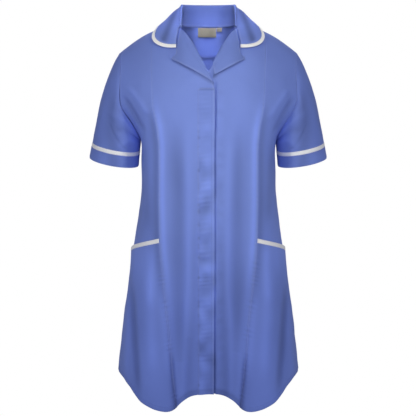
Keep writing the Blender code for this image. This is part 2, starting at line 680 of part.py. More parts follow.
def wall_directions(centre, side, half_back, sleeve):
    """Which way each piece gets its thickness, the same on both sides of every seam."""
    n_centre = turned_out(grid_normals(centre, False), 20, 2, (0, -1, 0))
    n_side = turned_out(grid_normals(side, False), 20, 2, (0, -1, 0))
    n_back = turned_out(grid_normals(half_back, False), 20, 2, (0, 1, 0))
    n_sleeve = turned_out(grid_normals(sleeve, True), 6, 0, (1, 0, 0))
    count, levels = len(side), len(FRONT_LEVELS)
    last_centre, last_side, last_back = (len(g[0]) - 1 for g in (centre, side, half_back))
    for row in n_back:
        row[0] = Vector((0, row[0].y, row[0].z)).normalized()

    share_seam(n_centre, [(i, last_centre) for i in range(count)],
               n_side, [(i, 0) for i in range(count)])
    for grid, normals, start in ((centre, n_centre, 0), (side, n_side, 0),
                                 (half_back, n_back, BACK_NECK_STEPS)):
        shoulder = grid[0]
        for j in range(start, len(shoulder)):
            a, b = shoulder[max(start, j - 1)], shoulder[min(len(shoulder) - 1, j + 1)]
            normals[0][j] = Vector((a.z - b.z, 0, b.x - a.x)).normalized()
    for i in range(levels, count):
        share_seam(n_side, [(i, last_side)], n_back, [(i, last_back)])
        for normals, j in ((n_side, last_side), (n_back, last_back)):
            normals[i][j] = Vector((normals[i][j].x, 0, normals[i][j].z)).normalized()
    ring = len(sleeve[0])
    for i in range(levels):
        share_seam(n_side, [(i, last_side)], n_sleeve, [(0, i)])
        share_seam(n_back, [(i, last_back)], n_sleeve, [(0, (ring - i) % ring)])
    tip = n_sleeve[0][0] + n_side[0][last_side] + n_back[0][last_back]
    tip = Vector((tip.x, 0, tip.z)).normalized()
    for normals, j in ((n_sleeve, 0), (n_side, last_side), (n_back, last_back)):
        normals[0][j] = tip.copy()
    return n_centre, n_side, n_back, n_sleeve


def under_front(centre, normals):
    """The left front passes behind the right one where the two lap."""
    grid = []
    for row, normal_row in zip(centre, normals):
        grid.append([])
        for p, n in zip(row, normal_row):
            lap = (1 - ease(0.018, 0.050, p.x)) * (1 - ease(-0.112, -0.092, p.z))
            grid[-1].append(p - n * UNDERLAP * lap)
    return grid


def pocket_parts(side, normals, name, flip):
    """A pocket lies on the side front from its bound mouth to the hem."""
    rows, cols = (MOUTH_ROW, len(side)), (0, len(SIDE_STEPS))
    pocket, n_pocket = part_of(side, rows, cols), part_of(normals, rows, cols)

    def clear(i, j):
        gape = 0.25 + 0.75 * ease(0.0, 0.6, SIDE_STEPS[j])
        return GAP + OVERLAY + MOUTH_STANDS_OFF * gape * (1.0 - ease(0.0, 6.0, i))

    raised = moved(pocket, n_pocket, clear)
    wall("pocket_" + name, raised[1:], n_pocket[1:], OVERLAY, ("top", "first", "last"), BLUE,
         mirror=flip)
    wall("pocket_trim_" + name, moved(raised[:2], n_pocket[:2], TRIM_PROUD), n_pocket[:2],
         POCKET_TRIM_WALL, ("bottom", "first", "last"), WHITE, mirror=flip)


def sleeve_parts(sleeve, normals, name, flip):
    """Sleeve, its binding and its cuff, each a ring."""
    last, hem = SLEEVE_ROWS + 1, len(sleeve)
    wall("sleeve_" + name, sleeve[:last], normals[:last], WALL, ("bottom",), BLUE,
         closed=True, mirror=flip)
    for piece, rows, thickness, sides, colour in (
            ("sleeve_trim_", (SLEEVE_ROWS, last + 1), SLEEVE_TRIM_WALL, ("top", "bottom"), WHITE),
            ("cuff_", (last, hem), CUFF_WALL, ("top",), BLUE)):
        n_band = normals[rows[0]:rows[1]]
        band = moved(sleeve[rows[0]:rows[1]], n_band, TRIM_PROUD)
        wall(piece + name, band, n_band, thickness, sides, colour, closed=True, mirror=flip)


def collar_parts(tree):
    """Collar with its stand, and the binding along its edge."""
    collar = both_halves(collar_grid(tree))
    normals = turned_out(grid_normals(collar, False), ROLL_ROW, COLLAR_STEPS, (0, 0, 1))
    ends = len(collar[0]) - 1

    def thickness(_i, j):
        near_end = ease(3.5, 0.5, min(j, ends - j))
        return -COLLAR_WALL + (COLLAR_WALL - COLLAR_END_WALL) * near_end

    wall("collar", collar[:-1], normals[:-1], thickness, ("bottom",), BLUE)
    n_band = normals[-2:]
    wall("collar_trim", moved(collar[-2:], n_band, TRIM_PROUD), n_band, COLLAR_TRIM_WALL,
         ("top",), WHITE)


def neck_parts(whole_back, n_whole):
    """Facing inside the back neck, with the two labels that hang from the neck seam."""
    middle = len(whole_back[0]) // 2
    rows, cols = (0, FACING_ROWS), (middle - FACING_REACH, middle + FACING_REACH + 1)
    piece, n_piece = part_of(whole_back, rows, cols), part_of(n_whole, rows, cols)
    outer = moved(piece, n_piece, -WALL - GAP)
    wall("back_neck_facing", outer, n_piece, FACING_WALL, ("top",), BLUE)
    inside = surface_of([moved(outer, n_piece, -FACING_WALL)])
    for name, left, right, top, bottom, steps in LABELS:
        back_side, front_side = [], []
        for z in (top, bottom):
            xs = [left + (right - left) * k / steps for k in range(steps + 1)]
            hits = [inside.ray_cast(Vector((x, -0.02, z - 0.003)), Vector((0, 1, 0)))[0] for x in xs]
            back_side.append([Vector((x, hit.y - LABEL_CLEAR, z)) for x, hit in zip(xs, hits)])
            front_side.append([p - Vector((0, LABEL_WALL, 0)) for p in back_side[-1]])
        make_wall(name, front_side, back_side, False, GREY)


def build():
    for item in list(bpy.data.objects):
        bpy.data.objects.remove(item, do_unlink=True)

    centre, side = front_grids()
    half_back = back_grid()
    arms = len(FRONT_LEVELS) + 1
    sleeve = sleeve_grid([row[-1] for row in side[:arms]], [row[-1] for row in half_back[:arms]])
    n_centre, n_side, n_back, n_sleeve = wall_directions(centre, side, half_back, sleeve)
    under = under_front(centre, n_centre)

    wall("front_right", centre, n_centre, WALL, ("top", "last"), BLUE, mirror=True)
    wall("front_left", under, n_centre, WALL, ("top", "last"), BLUE)
    whole_back, n_whole = both_halves(half_back), both_halves(n_back)
    wall("back", whole_back, n_whole, WALL, ("top", "first", "last"), BLUE)
    for name, flip in (("right", True), ("left", False)):
        wall("side_front_" + name, side, n_side, WALL, ("top", "first", "last"), BLUE, mirror=flip)
        pocket_parts(side, n_side, name, flip)
        sleeve_parts(sleeve, n_sleeve, name, flip)

    rows, cols = (PLACKET_TOP_ROW, len(centre)), (0, PLACKET_COLUMNS)
    strip, n_strip = part_of(centre, rows, cols), part_of(n_centre, rows, cols)
    wall("placket", moved(strip, n_strip, GAP + OVERLAY), n_strip, OVERLAY, (), BLUE, mirror=True)

    collar_parts(surface_of([centre, side, half_back]))
    top, below = lapel_grids(centre, n_centre, surface_of([centre, side]), LAPEL)
    make_wall("lapel_right", mirrored(top), mirrored(below), False, BLUE)
    top, below = lapel_grids(under, n_centre, surface_of([under, side]), LAPEL_LEFT_ROWS)
    make_wall("lapel_left", top, below, False, BLUE)
    neck_parts(whole_back, n_whole)


build()
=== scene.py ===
"""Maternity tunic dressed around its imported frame: thin cloth, soft creases, seams and stitching."""

import math

import bmesh
import bpy
from mathutils import Matrix, Vector, noise


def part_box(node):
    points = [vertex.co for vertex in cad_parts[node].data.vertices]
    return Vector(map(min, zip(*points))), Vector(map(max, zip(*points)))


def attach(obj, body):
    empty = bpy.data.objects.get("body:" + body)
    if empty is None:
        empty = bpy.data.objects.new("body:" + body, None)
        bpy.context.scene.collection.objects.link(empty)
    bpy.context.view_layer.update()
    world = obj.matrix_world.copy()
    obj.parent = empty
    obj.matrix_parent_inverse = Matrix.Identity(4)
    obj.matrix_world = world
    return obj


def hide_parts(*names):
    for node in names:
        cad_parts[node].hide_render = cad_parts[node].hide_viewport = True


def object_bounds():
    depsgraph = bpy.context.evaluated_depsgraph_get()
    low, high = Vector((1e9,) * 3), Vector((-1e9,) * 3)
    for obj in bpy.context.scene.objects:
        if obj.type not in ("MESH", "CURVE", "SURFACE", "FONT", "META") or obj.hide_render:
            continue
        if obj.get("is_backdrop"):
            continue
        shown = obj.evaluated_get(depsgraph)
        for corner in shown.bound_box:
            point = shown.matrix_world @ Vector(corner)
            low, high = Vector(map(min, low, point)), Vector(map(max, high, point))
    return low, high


bl_info = {
    "name": "Maternity Tunic",
    "version": (1, 0, 0),
    "blender": (4, 5, 0),
    "location": "View3D > Sidebar > Tunic",
    "description": "Builds a filled-out maternity tunic of thin cloth around its packed frame",
    "category": "Object",
}

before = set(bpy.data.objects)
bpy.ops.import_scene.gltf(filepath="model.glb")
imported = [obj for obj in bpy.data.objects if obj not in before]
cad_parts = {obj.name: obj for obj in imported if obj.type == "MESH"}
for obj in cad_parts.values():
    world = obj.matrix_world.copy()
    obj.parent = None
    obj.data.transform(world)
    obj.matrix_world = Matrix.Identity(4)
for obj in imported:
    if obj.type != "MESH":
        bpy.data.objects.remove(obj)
CAD_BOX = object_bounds()
BODY = "root"
FRONT = Vector((0, -1, 0))

SKIN_ANGLE = math.radians(50)    # a skin ends at edges sharper than this
SLEEVE_ANGLE = math.radians(40)
SHARP_ANGLE = math.radians(55)   # edges of the made shells that stay sharp in shading
MERGE = 2e-5
TALL_RING = 0.05                 # a ring that rises more than this starts at its highest point
BOTH = ("first", "last")         # the two upright edges of a sheet
SEAM_STEPS = ((0.0009, 0.45), (0.0022, 0.10))   # way in from a seam, share of its dip there
SEAM_DIP = 0.0005
SEAM_REACH = 0.00026             # sewn edges reach this much further, so that they meet
ALLOWANCE = 0.0035               # what goes on under the other piece at a seam
ALLOWANCE_DROP = 0.4             # how steeply it goes under, as a share of its length
ALLOWANCE_SPAN = 6               # columns that it takes its direction from
HEM_DEPTH = 0.010
HEM_ROWS = (HEM_DEPTH + 0.0016, HEM_DEPTH - 0.0004, 0.0016)   # heights of extra rows over the edge
HEM_ROOM = 0.0006                # least distance from the row above them
HEM_LIFTS = (0.0002, 0.0, 0.0006, 0.0006)       # how proud the hem's last four rows are
LAID_DEPTH, LAID_WIDTH = 0.0013, 0.007   # a stitched edge lies this much lower over this width
OVERLAP_X = 0.0170               # where the placket's free edge ends
POCKET_TOP = -0.46               # height at which the pockets join the princess seams
SEAM_START = -0.15               # height below which the princess seams stand out as a ridge
RIDGE_HEIGHT = 0.0044
RIDGE_INNER = 0.023              # width of the ridge's slope towards the middle
PUCKER_LENGTH = 0.0105           # from one pucker of a seam to the next
PLACKET_PUCKER_LENGTH = 0.0100
# Tones are painted light and shade on the cloth's colour.
MM = 1000.0                      # tones are in millimetres
PLACKET_STITCH = -0.0190         # where its stitch line runs
COLLAR_ROLL = 0.455              # share of the way from the stand's foot to just inside the roll
EDGE_WEAR = 0.003                # how far in from an edge the cloth is rubbed
STITCH_GAP = 0.0008
STITCH_SUNK = 0.55               # share of a thread's radius that its middle stands proud

# The princess seam on the front, from the shoulder to the hem: height, distance from the middle.
PRINCESS = (
    (-0.031, 0.1228), (-0.093, 0.1207), (-0.140, 0.1190), (-0.185, 0.1160), (-0.228, 0.1070),
    (-0.262, 0.1030), (-0.380, 0.1032), (-0.460, 0.1012), (-0.500, 0.0985), (-0.550, 0.0932),
    (-0.600, 0.0868), (-0.650, 0.0805), (-0.700, 0.0768), (-0.750, 0.0728), (-0.800, 0.0668),
    (-0.830, 0.0636),
)

# Soft folds of the body: x and z of the top, x and z of the foot, width, height (ridges above 0).
FOLD_SCALE = 1.7
FOLD_CUT = 0.03                  # a fold ends at most this far beyond its two points
FRONT_FOLDS = (
    (-0.066, -0.245, -0.060, -0.690, 0.0135, -0.0022),
    (0.066, -0.250, 0.061, -0.670, 0.0135, -0.0021),
    (-0.043, -0.240, -0.041, -0.640, 0.0100, 0.0013),
    (0.044, -0.250, 0.042, -0.620, 0.0100, 0.0012),
    (-0.0775, -0.700, -0.0680, -0.830, 0.0048, -0.0023),
    (0.0780, -0.705, 0.0685, -0.830, 0.0048, -0.0022),
    (-0.030, -0.420, -0.040, -0.790, 0.0080, -0.0011),
    (0.029, -0.450, 0.036, -0.795, 0.0085, -0.0013),
    (-0.049, -0.560, -0.052, -0.800, 0.0070, 0.0009),
    (0.049, -0.590, 0.047, -0.800, 0.0070, 0.0010),
    (-0.167, -0.560, -0.150, -0.775, 0.0078, -0.0034),
    (0.168, -0.570, 0.151, -0.780, 0.0080, -0.0032),
    (-0.128, -0.530, -0.118, -0.720, 0.0140, 0.0018),
    (0.129, -0.530, 0.119, -0.730, 0.0140, 0.0017),
    (-0.118, -0.480, -0.126, -0.600, 0.0110, 0.0014),
    (0.120, -0.480, 0.128, -0.590, 0.0110, 0.0012),
    (-0.168, -0.560, -0.178, -0.760, 0.0090, 0.0012),
    (0.170, -0.540, 0.180, -0.760, 0.0090, 0.0011),
    (-0.176, -0.170, -0.140, -0.232, 0.0060, -0.0022),
    (0.177, -0.172, 0.143, -0.236, 0.0062, -0.0021),
    (-0.166, -0.148, -0.128, -0.200, 0.0070, 0.0010),
    (0.168, -0.150, 0.131, -0.206, 0.0070, 0.0009),
    (-0.138, -0.268, -0.128, -0.430, 0.0100, -0.0016),
    (0.137, -0.272, 0.127, -0.420, 0.0100, -0.0015),
)
BACK_FOLDS = (
    (-0.090, -0.330, -0.120, -0.780, 0.0140, -0.0030),
    (0.086, -0.340, 0.116, -0.780, 0.0145, -0.0028),
    (-0.030, -0.300, -0.034, -0.780, 0.0120, 0.0022),
    (0.034, -0.320, 0.044, -0.780, 0.0120, 0.0020),
    (0.002, -0.380, 0.004, -0.790, 0.0110, -0.0018),
    (-0.160, -0.180, -0.110, -0.262, 0.0080, -0.0015),
    (0.162, -0.182, 0.112, -0.268, 0.0080, -0.0014),
    (-0.120, -0.260, -0.060, -0.330, 0.0090, 0.0012),
    (0.118, -0.255, 0.064, -0.322, 0.0090, 0.0012),
)

# The lapels' lower edges on the front, from the point to the crossing: x and z of each.
LAPEL_EDGES = ((-0.0735, -0.0890, 0.0090, -0.1370), (0.0762, -0.0862, 0.0110, -0.1240))
LAPEL_CROSSING = (0.0125, -0.118)

# Soft folds of a sleeve, by the way round it from the shoulder line over the front, and down it:
# round and down of the top, round and down of the foot, width and height.
SLEEVE_FOLDS = (
    (0.47, 0.10, 0.28, 0.62, 0.035, -0.0022),
    (0.40, 0.06, 0.20, 0.50, 0.040, 0.0014),
    (0.44, 0.42, 0.30, 0.92, 0.030, 0.0015),
    (0.14, 0.30, 0.10, 0.95, 0.040, 0.0012),
    (0.22, 0.62, 0.36, 0.96, 0.030, -0.0013),
    (0.53, 0.12, 0.74, 0.60, 0.035, -0.0020),
    (0.62, 0.10, 0.86, 0.52, 0.040, 0.0013),
    (0.60, 0.50, 0.66, 0.94, 0.032, 0.0012),
    (0.90, 0.34, 0.88, 0.96, 0.038, -0.0010),
)

# Panels of the body: node, side of the wearer, sewn upright edges, fine rows for each coarse one.
PANELS = (
    ("front_right", -1, ("last",), 14),
    ("front_left", 1, ("last",), 14),
    ("side_front_right", -1, BOTH, 8),
    ("side_front_left", 1, BOTH, 8),
    ("back", 1, BOTH, 8),
)
TUCKED = {"side_front_right": ("first",), "side_front_left": ("first",), "back": BOTH}

# The frame brings a plain material for each slot; these woven ones take their place.
WOVEN = {"blue_cloth": "blue_weave", "white_trim": "white_weave", "label_cloth": "label_weave"}

SIDES = (("right", -1), ("left", 1))
# Thickness of the pieces that are more than one layer of cloth, or finer than it.
WALLS = {"pocket_trim": 0.0014, "sleeve_trim": 0.0016, "cuff": 0.0018, "collar": 0.0013,
         "collar_trim": 0.0019, "lapel": 0.0011, "facing": 0.0008, "label": 0.0006}

# Sheets as they are made: node -> (piece, rows, normals, closed).
MADE = {}


def colour_setting(name, description, default):
    return bpy.props.FloatVectorProperty(name=name, description=description, subtype="COLOR",
                                         size=3, default=default, min=0.0, max=1.0)


def length_setting(name, description, default, low, high):
    return bpy.props.FloatProperty(name=name, description=description, subtype="DISTANCE",
                                   unit="LENGTH", default=default, min=low, max=high)


class TunicSettings(bpy.types.PropertyGroup):
    cloth_colour: colour_setting(
        "Cloth", "Colour of the blue cloth", (0.176, 0.254, 0.690))
    cloth_deep: colour_setting(
        "Cloth, deeper", "Colour of the blue cloth between its threads", (0.152, 0.219, 0.622))
    binding_colour: colour_setting(
        "Binding", "Colour of the white binding", (0.975, 0.965, 0.990))
    binding_deep: colour_setting(
        "Binding, deeper", "Colour of the binding between its threads", (0.900, 0.890, 0.930))
    label_colour: colour_setting(
        "Label", "Colour of the woven labels", (0.420, 0.385, 0.290))
    label_deep: colour_setting(
        "Label, deeper", "Colour of the labels between their threads", (0.310, 0.285, 0.215))
    thread_pitch: length_setting(
        "Thread pitch", "Distance between neighbouring threads of the cloth", 0.00055, 0.0002, 0.003)
    cloth_wall: length_setting(
        "Cloth thickness", "Thickness of the thin cloth shells", 0.0008, 0.0003, 0.002)
    stitch_length: length_setting(
        "Stitch length", "Length of one stitch", 0.0027, 0.001, 0.006)
    stitch_radius: length_setting(
        "Thread radius", "Radius of the sewing thread", 0.00022, 0.0001, 0.001)
    light: bpy.props.FloatProperty(
        name="Light", description="Strength of the soft studio light", default=1.0, min=0.1,
        max=4.0)


def settings():
    return bpy.context.scene.maternity_tunic


def ease(low, high, x):
    """Smooth step from 0 at low to 1 at high; low may be the greater one."""
    u = min(1.0, max(0.0, (x - low) / (high - low)))
    return u * u * (3 - 2 * u)


def bell(x, centre, width):
    return math.exp(-((x - centre) / width) ** 2)


def rough(x, y, z):
    return noise.noise(Vector((x, y, z)))


def radial(p):
    return Vector((p.x, p.y, 0.0))


def between(rows, z):
    """Straight reading of a two-column table that runs downwards."""
    for (z0, x0), (z1, x1) in zip(rows, rows[1:]):
        if z >= z1:
            return x0 + (x1 - x0) * min(1.0, max(0.0, (z0 - z) / (z0 - z1)))
    return rows[-1][1]


def hermite(p0, p1, t0, t1, u):
    return (p0 * (2 * u ** 3 - 3 * u * u + 1) + t0 * (u ** 3 - 2 * u * u + u)
            + p1 * (3 * u * u - 2 * u ** 3) + t1 * (u ** 3 - u * u))


def smooth_patches(bm, limit):
    """Groups of faces joined by edges that are less sharp than the limit."""
    left, groups = set(bm.faces), []
    while left:
        seed = left.pop()
        group, todo = {seed}, [seed]
        while todo:
            for edge in todo.pop().edges:
                if len(edge.link_faces) == 2 and edge.calc_face_angle() < limit:
                    new = left.intersection(edge.link_faces)
                    left -= new
                    group |= new
                    todo += new
        groups.append(group)
    return groups


def node_skin(node, outward, limit):
    """A merged copy of a node and the faces of the skin that looks outwards."""
    bm = bmesh.new()
    bm.from_mesh(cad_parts[node].data)
    bmesh.ops.remove_doubles(bm, verts=bm.verts, dist=MERGE)
    bm.normal_update()

    def score(group):
        return sum(f.calc_area() * f.normal.dot(outward(f.calc_center_median())) for f in group)

    return bm, max(smooth_patches(bm, limit), key=score)


class Skin:
    """The points of a skin in rows, with the side that its faces look to."""

    def __init__(self, node, outward, along=None, limit=SKIN_ANGLE):
        bm, self.patch = node_skin(node, outward, limit)
        self.closed = along is None
        self.near = {}
        for face in self.patch:
            for edge in face.edges:
                self.near.setdefault(edge, []).append(face)
        self.rim = {}
        for edge, faces in self.near.items():
            if len(faces) == 1:
                for vert in edge.verts:
                    self.rim.setdefault(vert, []).append(edge.other_vert(vert))
        verts = {vert for face in self.patch for vert in face.verts}
        row = self.first_ring() if self.closed else self.first_row(along)
        rows, used = [row], set()
        while len(rows) * len(row) < len(verts):
            rows.append(self.next_row(rows[-1], used))
        met = {v for r in rows for v in r}
        if any(len(r) != len(row) for r in rows) or len(met) != len(verts):
            raise RuntimeError(f"{node}: its skin isn't a grid of rows")
        across = rows[0][1].co - rows[0][0].co
        down = rows[1][0].co - rows[0][0].co
        first = next(f for f in rows[0][0].link_faces if f in self.patch)
        self.turn = 1.0 if across.cross(down).dot(first.normal) > 0 else -1.0
        self.rows = [[v.co.copy() for v in r] for r in rows]
        bm.free()

    def links(self, vert):
        return [edge for edge in vert.link_edges if edge in self.near]

    def link_between(self, a, b):
        return next(edge for edge in self.links(a) if edge.other_vert(a) is b)

    def follow(self, start, step, stop):
        """Verts along the rim from start, first to step, until stop says so."""
        path = [start, step]
        while not stop(path[-1]):
            a, b = self.rim[path[-1]]
            path.append(b if a is path[-2] else a)
        return path

    def first_row(self, along):
        corners = [v for v in self.rim if len(self.links(v)) in (2, 3)]
        start = max((v for v in corners if len(self.links(v)) == 3), key=lambda v: v.co.z)
        paths = [self.follow(start, step, lambda v: v in corners) for step in self.rim[start]]
        return max(paths, key=lambda path: path[-1].co.dot(along))

    def first_ring(self):
        """The upper rim, from its highest or its outermost vert over the front."""
        left, rings = set(self.rim), []
        while left:
            start = left.pop()
            ring = self.follow(start, self.rim[start][0], lambda v: v is start)[:-1]
            left -= set(ring)
            rings.append(ring)
        ring = max(rings, key=lambda r: sum(v.co.z for v in r) / len(r))
        heights = [v.co.z for v in ring]
        tall = max(heights) - min(heights) > TALL_RING
        first = max(range(len(ring)), key=lambda k: ring[k].co.z if tall else abs(ring[k].co.x))
        ring = ring[first:] + ring[:first]
        return ring if ring[1].co.y < ring[-1].co.y else [ring[0]] + ring[:0:-1]

    def third(self, a, b, used):
        """The vert across from an edge, on the side that isn't used yet."""
        face = next(f for f in self.near[self.link_between(a, b)] if f not in used)
        used.add(face)
        return next(v for v in face.verts if v is not a and v is not b)

    def next_row(self, row, used):
        pairs = list(zip(row, row[1:] + row[:1] if self.closed else row[1:]))
        tips = [self.third(a, b, used) for a, b in pairs]
        if self.closed:
            self.mark_above(tips + tips[:1], row, used)
            ahead = sum((t.co - b.co).length for t, (a, b) in zip(tips, pairs))
            behind = sum((t.co - a.co).length for t, (a, b) in zip(tips, pairs))
            return tips[-1:] + tips[:-1] if ahead < behind else tips
        first = self.third(row[0], tips[0], used)
        self.mark_above([first] + tips, row, used)
        return [first] + tips

    def mark_above(self, new, row, used):
        """Marks the faces between a row and the next one as used."""
        for a, b in zip(new, new[1:]):
            used.update(f for f in self.near[self.link_between(a, b)] if set(f.verts) & set(row))


def spline(points, parts, closed):
    """A smooth line through points, each span cut in parts."""
    count = len(points)
    slopes = []
    for i in range(count):
        if closed or 0 < i < count - 1:
            before, here, after = points[i - 1], points[i], points[(i + 1) % count]
            d0 = max((here - before).length, 1e-9)
            d1 = max((after - here).length, 1e-9)
            slopes.append(((here - before) / d0 * d1 + (after - here) / d1 * d0) / (d0 + d1))
        else:
            slopes.append(None)
    line = []
    for i in range(count if closed else count - 1):
        p0, p1 = points[i], points[(i + 1) % count]
        length = (p1 - p0).length
        t0, t1 = slopes[i], slopes[(i + 1) % count]
        if t0 is None and t1 is None:
            t0 = t1 = p1 - p0
        elif t0 is None:
            t1 = t1 * length
            t0 = 1.5 * (p1 - p0) - 0.5 * t1
        elif t1 is None:
            t0 = t0 * length
            t1 = 1.5 * (p1 - p0) - 0.5 * t0
        else:
            t0, t1 = t0 * length, t1 * length
        line += [hermite(p0, p1, t0, t1, k / parts) for k in range(parts)]
    if not closed:
        line.append(points[-1].copy())
    return line


def refined(rows, down, across, closed=False):
    """The same sheet with finer rows and columns."""
    wide = [spline(row, across, closed) for row in rows]
    columns = [spline(column, down, False) for column in zip(*wide)]
    return [list(row) for row in zip(*columns)]


def reaching(p, inner):
    """An edge's point drawn out, away from the point inside it."""
    return p + (p - inner).normalized() * SEAM_REACH


def closed_up(rows, sides):
    """Draws the named edges out until they meet the piece that they are sewn to."""
    new = [list(row) for row in rows]
    if "top" in sides:
        new[0] = [reaching(p, q) for p, q in zip(rows[0], rows[1])]
    if "bottom" in sides:
        new[-1] = [reaching(p, q) for p, q in zip(rows[-1], rows[-2])]
    for row in new:
        if "first" in sides:
            row[0] = reaching(row[0], row[1])
        if "last" in sides:
            row[-1] = reaching(row[-1], row[-2])
    return new


def with_seam_columns(rows, sides):
    """Extra columns beside the named edges, where the cloth dips into its seam."""
    new = [list(row) for row in rows]
    for row in new:
        for side, edge, inner in (("first", 0, 1), ("last", -1, -2)):
            if side in sides:
                a, b = row[edge], row[inner]
                length = (b - a).length
                extra = [a.lerp(b, min(way, 0.6 * length + 0.1 * way) / length)
                         for way, _ in SEAM_STEPS]
                if side == "first":
                    row[1:1] = extra
                else:
                    row[-1:-1] = reversed(extra)
    return new


def walk_in(points, way):
    """The span of a line of points in which a way along it ends, and the share of that span."""
    for k, (a, b) in enumerate(zip(points, points[1:])):
        step = (b - a).length
        if 0 < step and way <= step:
            return k, way / step
        way -= step
    return len(points) - 2, 1.0


def at_span(points, k, share):
    return points[k].lerp(points[k + 1], share)


def with_hem_rows(rows):
    """Extra rows on both sides of the hem's stitch line, in place of the rows that they pass."""
    columns = [column[::-1] for column in zip(*rows)]
    keep = len(rows) - 1
    while min((c[0] - c[len(rows) - 1 - keep]).length for c in columns) <= HEM_ROWS[0] + HEM_ROOM:
        keep -= 1
    extra = [[at_span(column, *walk_in(column, way)) for column in columns] for way in HEM_ROWS]
    return rows[:keep + 1] + extra + [rows[-1]]


def sheet_normals(rows, closed, turn):
    """Unit normals on the visible side of a sheet."""
    count, wide = len(rows), len(rows[0])
    normals = []
    for i, row in enumerate(rows):
        above, below = rows[max(i - 1, 0)], rows[min(i + 1, count - 1)]
        line = []
        for j in range(wide):
            left = row[j - 1] if closed or j else row[0]
            right = row[(j + 1) % wide] if closed else row[min(j + 1, wide - 1)]
            line.append(((right - left).cross(below[j] - above[j]) * turn).normalized())
        normals.append(line)
    return normals


def moved(rows, normals, lift):
    """Points moved along their normals by lift(point, row number, column number)."""
    return [[p + n * lift(p, i, j) for j, (p, n) in enumerate(zip(row, normal_row))]
            for i, (row, normal_row) in enumerate(zip(rows, normals))]


def laid_down(rows, normals, side):
    """Lowers a piece along one edge to the cloth that it is stitched to."""
    edge = 0 if side == "first" else -1
    return moved(rows, normals, lambda p, i, j: -LAID_DEPTH * (
        1.0 - ease(0.0, LAID_WIDTH, (p - rows[i][edge]).length)))


def seam_dipped(rows, normals, sides):
    """Turns the named edges down into their seams."""
    dips = [0.0] * len(rows[0])
    for k, share in enumerate([1.0] + [share for _, share in SEAM_STEPS]):
        if "first" in sides:
            dips[k] = SEAM_DIP * share
        if "last" in sides:
            dips[-1 - k] = SEAM_DIP * share
    return moved(rows, normals, lambda p, i, j: -dips[j])


def tucked(rows, normals, sides):
    """Seam allowance: the named edges go on a little under the piece that they are sewn to."""
    new = []
    for row, normal_row in zip(rows, normals):
        line = list(row)
        for side, edge, inner in (("first", 0, ALLOWANCE_SPAN), ("last", -1, -1 - ALLOWANCE_SPAN)):
            if side in sides:
                out = (row[edge] - row[inner]).normalized()
                under = normal_row[inner] * ALLOWANCE_DROP * ALLOWANCE
                line.insert(0 if edge == 0 else len(line), row[edge] + out * ALLOWANCE - under)
        new.append(line)
    return new


def hem_raised(rows, normals):
    """Lifts the folded hem a little above the single cloth."""
    lifts = [0.0] * (len(rows) - len(HEM_LIFTS)) + list(HEM_LIFTS)
    return moved(rows, normals, lambda p, i, j: lifts[i])


def fold_height(x, z, fold):
    """Height of one soft fold at a place on its face."""
    top_x, top_z, low_x, low_z, width, height = fold
    if z > top_z + FOLD_CUT or z < low_z - FOLD_CUT:
        return 0.0
    share = (top_z - z) / (top_z - low_z)
    centre = top_x + (low_x - top_x) * share
    run = (x - centre) * (top_z - low_z) / math.hypot(top_z - low_z, low_x - top_x)
    return height * ease(-0.12, 0.22, share) * ease(1.18, 0.86, share) * bell(run, 0.0, width)


def soft_folds(p):
    """Height of all soft folds of the body at a place."""
    folds = FRONT_FOLDS if p.y < 0 else BACK_FOLDS
    lift = FOLD_SCALE * sum(fold_height(p.x, p.z, fold) for fold in folds)
    return lift * ease(0.0, 0.030, abs(p.y))


def ripples(way, slant, length, patches):
    """Short ripples across a sewn line: they wander, and come and go in patches."""
    drift = 0.8 * length * rough(slant * 20.0, 3.1, way / 0.045)
    gone = rough(patches, slant * 14.0, way / 0.028)
    return math.sin(2 * math.pi * (way + slant + drift) / length) * ease(-0.30, 0.40, gone)


def off_seam(p):
    """Distance outside the princess seam, negative on the middle's side."""
    return abs(p.x) - between(PRINCESS, p.z)


def seam_ridge(p):
    """The princess seam is a pressed ridge, steep outside the seam."""
    off = off_seam(p)
    if off > 0:
        ridge = 0.5 * math.exp(-off / 0.0035) + 0.5 * math.exp(-off / 0.0150)
    else:
        ridge = max(0.0, 1.0 + off / RIDGE_INNER) ** 1.3
    low = ease(-0.56, -0.72, p.z)
    return RIDGE_HEIGHT * ridge * ease(SEAM_START, -0.26, p.z) * (1.0 - 0.5 * low)


def seam_puckers(p):
    """Short puckers along the princess seam, stronger where the pocket is sewn in with it."""
    off = off_seam(p)
    below = ease(POCKET_TOP, -0.49, p.z)
    wave = ripples(p.z, 0.25 * off, PUCKER_LENGTH, 2.0 if p.x > 0 else 5.0)
    reach = bell(off, 0.004 * below, 0.0060 + 0.0030 * below)
    return (0.00020 + 0.00075 * below) * wave * reach * ease(-0.12, -0.20, p.z)


def placket_relief(p):
    """Puckers that the placket's stitch line draws into the cloth on both sides of it."""
    grow = 0.45 + 0.55 * ease(-0.28, -0.40, p.z)
    inside = max(p.x, PLACKET_STITCH)
    beside = bell(inside, -0.010, 0.015) * math.exp((p.x - inside) / 0.005)
    slant = -0.12 * (p.x - PLACKET_STITCH)
    lift = 0.00085 * grow * beside * ripples(p.z, slant, PLACKET_PUCKER_LENGTH, 8.0)
    lift += 0.0056 * rough(p.x * 24.0, 4.1, p.z / 0.024) * grow * bell(p.x, -0.008, 0.014)
    lift += 0.0018 * rough(p.x * 26.0, 9.2, p.z / 0.0150) * bell(p.x, 0.024, 0.009)
    return lift * ease(-0.130, -0.170, p.z)


def body_relief(p):
    """How far the body's cloth stands out of its smooth form at a place."""
    lift = soft_folds(p)
    if p.y < 0:
        lift += (seam_ridge(p) + seam_puckers(p) + placket_relief(p)) * ease(0.03, 0.08, -p.y)
    uneven = 0.0020 * rough(p.x * 15.0, p.y * 15.0, p.z * 6.0)
    uneven += 0.0012 * rough(p.x * 44.0, p.y * 44.0, p.z * 26.0 + 5.0)
    return lift + uneven * ease(-0.02, -0.07, p.z)


